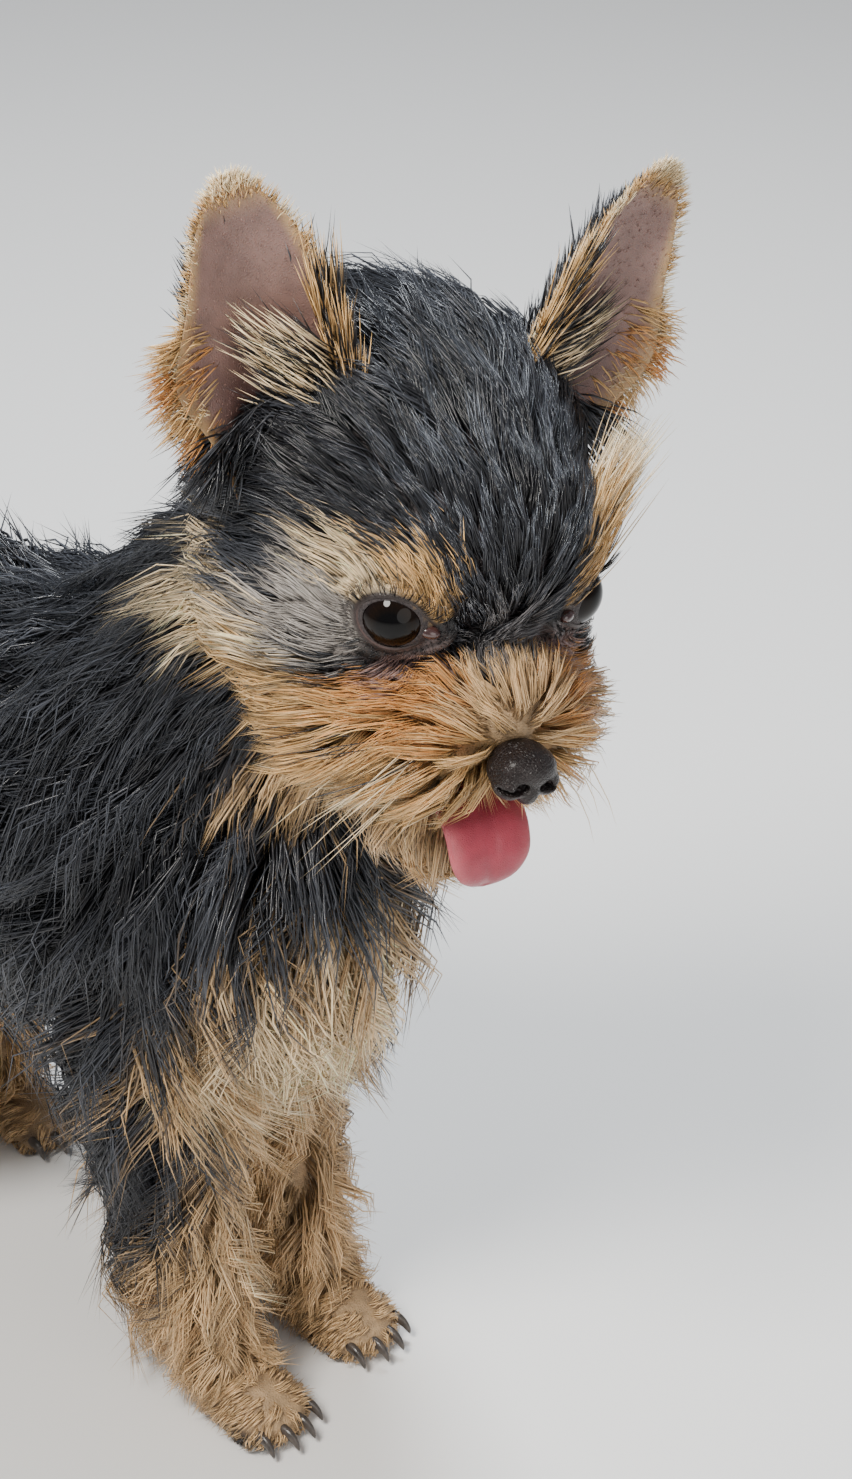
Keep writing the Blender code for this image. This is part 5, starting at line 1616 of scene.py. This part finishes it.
def tuft_colours(roots, lock, stations):
    """Colours from root to tip of each tuft."""
    count = len(roots)
    tone = tone_at(roots + chance.normal(0, 1.7, (count, 3)))
    bright = chance.uniform(0.8, 1.18, (count, 1)) * lock_bright[lock][:, None]
    light = smooth(tone.max(1), 0.05, 0.3)[:, None]
    pale = chance.normal(0, 0.10, (count, 1)) * light
    tone = np.clip(tone * bright + pale * tone, 0, 0.95)
    root = tone * (0.55 + 0.05 * light)
    # Black hair gets lighter tips, partly a painted sheen; the cubed lock brightness paints sheen streaks from lock
    # to lock.
    tip = tone * 1.18 * light + (1 - light) * (BLACK_TIP_AND_SHEEN * bright**3 + tone * 0.6)
    share = np.array(stations)[None, :, None]
    rising = smooth(share, 0.0, 0.55)
    middle = root[:, None] + (tone - root)[:, None] * rising
    return np.clip(middle + (tip - tone)[:, None] * smooth(share, 0.4, 1.0), 0, 0.98)


lock_phase = chance.uniform(0, 2 * np.pi, len(lock_points))
lock_bright = chance.uniform(0.86, 1.14, len(lock_points))

# %% [markdown]
# ## The coat, region by region
# The coat is split into pieces by region of the body, so that each stays a manageable size. Short coats need
# few stations along a tuft and long, wavy ones need more.

# %% Coat pieces
SHORT = ((0, 0.4, 1), (0, 1, 0))
MIDDLE = ((0, 0.3, 0.66, 1), (0, 1, 0.75, 0))
LONG = ((0, 0.2, 0.47, 0.75, 1), (0, 1, 0.95, 0.62, 0))


def region_of(points):
    """The name of each point's coat piece."""
    local = in_head(points)
    on_head = (points - NECK_AT_HEAD) @ HEAD_LINE > 0
    on_neck = (points - NECK_AT_TORSO) @ NECK_LINE > 0
    x, y, z = points.T
    name = np.full(len(points), "coat_back", dtype=object)
    name[z < 160 - 10 * smooth(np.abs(y), 0, 20)] = "coat_side"
    name[(x > -70) & ~on_neck] = "coat_chest"
    name[z < 104] = "coat_hind_legs"
    name[(z < 104) & (x > -92)] = "coat_fore_legs"
    name[(z < 18)] = "coat_feet"
    name[on_neck] = "coat_neck"
    name[(x < -172) & (z > 148)] = "coat_tail"
    name[on_head] = "coat_crown"
    name[on_head & (local[:, 0] > 2)] = "coat_forehead"
    name[on_head & (local[:, 2] < -2) & (local[:, 0] < 26)] = "coat_cheeks"
    name[on_head & ((local[:, 0] > 26) | (local[:, 2] < -28) & (local[:, 0] > 8))] = "coat_face"
    return name


COAT_PIECES = {
    "coat_face": (MIDDLE, "tan_coat"),
    "coat_cheeks": (MIDDLE, "tan_coat"),
    "coat_crown": (LONG, "black_coat"),
    "coat_forehead": (LONG, "black_coat"),
    "coat_neck": (LONG, "black_coat"),
    "coat_chest": (LONG, "tan_coat"),
    "coat_back": (LONG, "black_coat"),
    "coat_side": (LONG, "black_coat"),
    "coat_fore_legs": (MIDDLE, "tan_coat"),
    "coat_hind_legs": (MIDDLE, "tan_coat"),
    "coat_feet": (SHORT, "tan_coat"),
    "coat_tail": (LONG, "black_coat"),
}


def coat_piece(name, roots, path, ups, width, form, colours, slot):
    """One piece of the coat: closed tufts with their colours and map patches. Gives its number of triangles."""
    stations, profile = form
    corners, quads, threes = spikes(path, ups, width, profile)
    colours = np.concatenate([colours[:, :1], np.repeat(colours[:, 1:-1], 3, axis=1), colours[:, -1:]], 1)
    across = np.concatenate([[0], np.tile((-0.5, 0, 0.5), len(stations) - 2), [0]]) * PATCH
    along = np.concatenate([[0], np.repeat(stations[1:-1], 3), [1]]) * PATCH - PATCH / 2
    patches = on_map(roots)[:, None] + np.stack([across, along], 1)[None]
    dressed(spike_mesh(name, corners, quads, threes, colours, patches), coat_material, slot)
    return len(roots) * (2 * len(quads) + len(threes))


def grow(name, roots, normals, form, slot):
    """The coat of one region."""
    values = coat_at(roots)
    path, ups, lock = tuft_paths(roots, normals, values, form[0])
    width = values[:, WIDTH] * chance.uniform(0.75, 1.25, len(roots))
    return coat_piece(name, roots, path, ups, width, form, tuft_colours(roots, lock, form[0]), slot)


tuft_points, tuft_normals = scattered(skin_coat[:, DENSITY])
tuft_region = region_of(tuft_points)
triangles = 0
for name, (form, slot) in COAT_PIECES.items():
    own = tuft_region == name
    triangles += grow(name, tuft_points[own], tuft_normals[own], form, slot)
print("tufts:", len(tuft_points), "triangles:", triangles)

# %% [markdown]
# ## Hair of the ears
# Ear hair does not follow the body, so each of these tufts starts at a place on the ear, aims one way and bends
# another. Velvet covers the cup, a golden fringe the rim, black hair the back. Tan and black locks stand at the
# inner edge and reach across the cup, and an orange flare grows from the outer lobe.


# %% Free tufts
def free_tufts(name, roots, aims, bends, width, tones, form, slot):
    """One piece of tufts from roots, aims and bends in millimetres, in body sizes."""
    stations, profile = form
    share = np.array(stations)[None, :, None]
    path = roots[:, None] + aims[:, None] * share + bends[:, None] * share**2
    path[:, :, 2] = np.maximum(path[:, :, 2], FLOOR_CLEAR + 0.4)
    ups = np.broadcast_to(unit(chance.normal(0, 1, (len(roots), 1, 3))), path.shape)
    bright = chance.uniform(0.75, 1.2, (len(roots), 1, 1))
    colours = tones[:, None] * bright * (0.7 + 0.5 * share)
    return coat_piece(name, roots, path, ups, width, form, np.clip(colours, 0, 0.98), slot)


def ear_tufts(side, count, shares, outs, front, aim, bend, length, spread):
    """Roots, aims and bends of tufts on one side of an ear; aim and bend are in the ear's frame."""
    share = chance.uniform(*shares, count)
    out = chance.uniform(*outs, count)
    roots, facing = ear_surface(side, share, out, front)
    rotation = np.array(EAR_FRAMES[side].to_3x3()).T
    aims = unit(np.asarray(aim(share, out), float) + chance.normal(0, spread, (count, 3))) @ rotation
    bends = np.broadcast_to(np.asarray(bend, float), (count, 3)) @ rotation
    size = length * chance.uniform(0.7, 1.15, (count, 1))
    if front < 0:
        size *= (np.clip((1 - share) * 3, 0.22, 1) * np.clip((1 - np.abs(out)) * 3, 0.3, 1))[:, None]
    return roots - facing * 0.3, aims * size, bends * size, share, out


def clumped(values, clumps, first, second):
    """Two tones that alternate in clumps along a value."""
    mix = smooth(np.sin(values * clumps) + chance.normal(0, 0.3, len(values)), -0.15, 0.15)
    return mixed(np.tile(np.array(TONES[first]), (len(values), 1)), np.array(TONES[second]), mix)


def rows_of(x, y, z):
    return np.stack(np.broadcast_arrays(x, y, z), -1)


EAR_GROWTH = {
    "rim_fuzz": (5200, (0.3, 0.995), (-1, 1), 3.4, 0.26, 0.26),
    "velvet": (700, (0.2, 0.97), (-0.95, 0.95), 1.8, 0.2, 0.16),
    "inner_locks": (380, (0.10, 0.54), (-1.0, -0.70), 17, 0.11, 0.42),
    "cup_fan": (300, (0.14, 0.38), (-0.95, -0.2), 19, 0.12, 0.4),
    "lobe": (760, (0.24, 0.60), (0.5, 1.0), 9, 0.2, 0.34),
    "root": (300, (0.14, 0.26), (-0.5, 0.9), 15, 0.25, 0.5),
    "back": (1500, (0.08, 0.97), (-0.98, 0.98), 11, 0.14, 0.5),
}


def ear_coat(side):
    """All tufts of one ear: roots, aims, bends, widths and tones."""
    aim = {
        "rim_fuzz": lambda s, o: rows_of(1.2 * o * np.abs(o), 0.35, 0.5 + s),
        "velvet": lambda s, o: rows_of(0.2 * o, 0.5, 1),
        "inner_locks": lambda s, o: rows_of(-0.05, 0.25, 1),
        "cup_fan": lambda s, o: rows_of(0.55, 0.55, 0.8),
        "lobe": lambda s, o: rows_of(1, 0.35, 2.4 * (s - 0.42)),
        "root": lambda s, o: rows_of(0.6, 0.7, 0.1),
        "back": lambda s, o: rows_of(0.25 * o, -0.3, 1),
    }
    bend = {
        "inner_locks": (0, -0.15, 0.1),
        "cup_fan": (0.1, -0.35, 0.15),
        "lobe": (0, -0.2, -0.2),
        "root": (0.2, -0.2, -0.35),
    }
    for kind, (count, shares, outs, length, spread, width) in EAR_GROWTH.items():
        front = -1 if kind == "back" else 1
        roots, aims, bends, share, out = ear_tufts(
            side, count, shares, outs, front, aim[kind], bend.get(kind, (0, 0, 0)), length, spread
        )
        if kind == "rim_fuzz":
            margin = np.minimum((1 - np.abs(out)) * EAR_HALF_WIDTH, (1 - share) * EAR_LONG)
            chosen = chance.random(count) > smooth(margin, 1.5, 6.0)
        else:
            chosen = np.ones(count, bool)
        tones = {
            "rim_fuzz": lambda: clumped(share, 40, "gold", "cream"),
            "velvet": lambda: np.tile(EAR_SKIN * 1.3, (count, 1)),
            "inner_locks": lambda: clumped(share * 3 + out * 5, 9, "gold", "black"),
            "cup_fan": lambda: clumped(share * 4 + out * 3, 12, "cream", "black"),
            "lobe": lambda: clumped(share, 30, "gold", "orange"),
            # Lighter blue-grey clumps among the black hair of the ear are partly a painted sheen.
            "root": lambda: clumped(out, 14, "black", "steel_and_sheen"),
            "back": lambda: mixed(
                clumped(out * 3 + share, 9, "black", "steel_and_sheen"), np.array(TONES["gold"]), smooth(np.abs(out), 0.8, 0.95)
            ),
        }[kind]()
        sizes = np.full(count, width) * chance.uniform(0.8, 1.2, count)
        yield kind, roots[chosen], aims[chosen], bends[chosen], sizes[chosen], tones[chosen]


for side, name in ((1, "left"), (-1, "right")):
    grown = list(ear_coat(side))
    fine = [part for part in grown if part[0] in ("rim_fuzz", "velvet")]
    full = [part for part in grown if part[0] not in ("rim_fuzz", "velvet")]
    for label, parts, form in (("fuzz", fine, SHORT), ("locks", full, MIDDLE)):
        columns = [np.concatenate(column) for column in list(zip(*parts))[1:]]
        triangles += free_tufts("ear_" + label + "_" + name, *columns, form, "tan_coat")

# %% [markdown]
# ## Fur of the lids
# Short hair runs almost to the rim of each eye. The lids lie over the body's skin and hide the roots that grow
# there, so they get fur of their own: it points away from the eye, grows longer outwards, and thins out below,
# where the pouch is nearly bare.

# %% Fur of the lids
LID_HAIRS = 1900
LID_HAIR = 1.3
LID_HAIR_MORE = 0.8
LID_HAIR_WIDTH = 0.2
LID_HAIR_BEND = 0.15
POUCH_BARE = 0.55


def lid_fur(side):
    """Roots, aims, bends, widths and tones of the short hair on the lids, which parts from the eye."""
    rows, _ = lids[side]
    row = (len(LID_ROLL) + 1 + chance.random(LID_HAIRS) ** 0.8 * (len(LID_REACH) - 4)).astype(int)
    column = (chance.random(LID_HAIRS) * LID_SIDES).astype(int)
    share = chance.random(LID_HAIRS)
    roots = mixed(rows[row, column], rows[row + 1, (column + 1) % LID_SIDES], share)
    away = unit(rows[row + 2, column] - rows[row, column])
    facing = np.cross(away, rows[row, (column + 1) % LID_SIDES] - rows[row, column])
    facing = unit(facing) * np.sign((facing @ np.array(EYE_FRAMES[side].to_3x3())[:, 2]))[:, None]
    reach, below = eye_reach(roots)
    long = (LID_HAIR + LID_HAIR_MORE * np.minimum(reach, LID_REACH[-1])) * (1 - 0.6 * below)
    long = long * chance.uniform(0.75, 1.2, LID_HAIRS)
    flow = lie(roots)
    flow -= (flow * facing).sum(1, keepdims=True) * facing
    aims = unit(away + flow * 0.8 + facing * 0.4 + chance.normal(0, 0.12, roots.shape)) * long[:, None]
    bends = -facing * LID_HAIR_BEND * long[:, None]
    kept = chance.random(LID_HAIRS) > below * POUCH_BARE
    return tuple(part[kept] for part in (roots, aims, bends, np.full(LID_HAIRS, LID_HAIR_WIDTH), tone_at(roots)))


columns = [np.concatenate(column) for column in zip(*(lid_fur(side) for side in (1, -1)))]
triangles += free_tufts("lid_fur", *columns, SHORT, "tan_coat")

# %% [markdown]
# ## Lashes and whiskers
# A few stiff single hairs finish the face: lashes along the upper lids, long dark hairs over the brows, and
# whiskers in the moustache. There are few of them, but they are what the eye of a viewer looks for. The left
# brow also has long pale hair that stands out past the head, as in the photo.

# %% Lashes and whiskers
BROW_TUFT = 240
LASHES = 34
BROW_HAIRS = 26
WHISKERS = 16
# Each group: how many, middle and spread on the head, aim, bend, length, width and tone.
FACE_HAIRS = (
    (BROW_HAIRS, (30, 18, 14), (3, 5, 3), (-0.4, 0.6, 0.7), (-0.5, 0.25, -0.35), 17, 0.26, "black"),
    (WHISKERS, (41, 15, -17), (4, 3, 3), (-0.1, 0.95, -0.2), (-0.35, 0, -0.3), 25, 0.28, "black"),
    (WHISKERS, (42, 13, -20), (4, 3, 3), (0.15, 0.85, -0.4), (-0.2, 0, -0.4), 22, 0.26, "cream"),
)
LEFT_BROW = (
    (BROW_TUFT, (26, 23, 14), (3, 2.5, 3.5), (-0.3, 0.5, 0.85), (-0.2, 0.3, 0.1), 17, 0.34, "cream"),
    (BROW_TUFT, (29, 20, 12), (3, 2.5, 3), (-0.3, 0.4, 0.9), (-0.25, 0.25, 0.0), 13, 0.34, "gold"),
)


def face_hairs(side):
    turn = chance.uniform(0.12, 0.92, LASHES) * math.pi
    x, y = lid_line(side, turn, 0.35)
    height = np.sqrt(np.clip(EYE_RADIUS**2 - x**2 - y**2, 6, None)) + 0.9
    roots = placed(EYE_FRAMES[side], np.stack([x, y, height], 1))
    spin = np.array(EYE_FRAMES[side].to_3x3()).T
    aims = unit(np.stack([x * 0.12, 0.5 + 0.03 * y, np.full(LASHES, 0.9)], 1)) @ spin
    aims = aims * chance.uniform(3.5, 5.5, (LASHES, 1))
    bends = np.broadcast_to(np.array((0, 2.0, -0.6)) @ spin, aims.shape)
    yield roots, aims, bends, np.full(LASHES, 0.2), np.tile(np.array(TONES["black"]), (LASHES, 1))
    for count, centre, spread, aim, bend, length, width, tone in FACE_HAIRS + (LEFT_BROW if side > 0 else ()):
        centre = np.array(centre) + chance.normal(0, 1, (count, 3)) * spread
        roots, _ = nearest_skin(placed(HEAD, centre * (1, side, 1)))
        aims = unit(np.array(aim) * (1, side, 1) + chance.normal(0, 0.16, (count, 3))) @ HEAD_TURN.T
        size = length * chance.uniform(0.7, 1.2, (count, 1))
        bends = np.array(bend) * (1, side, 1) @ HEAD_TURN.T * size
        yield roots, aims * size, bends, np.full(count, width), np.tile(np.array(TONES[tone]), (count, 1))


columns = [np.concatenate(column) for column in zip(*(part for side in (1, -1) for part in face_hairs(side)))]
triangles += free_tufts("face_hairs", *columns, LONG, "black_coat")
print("all hair:", triangles, "triangles")
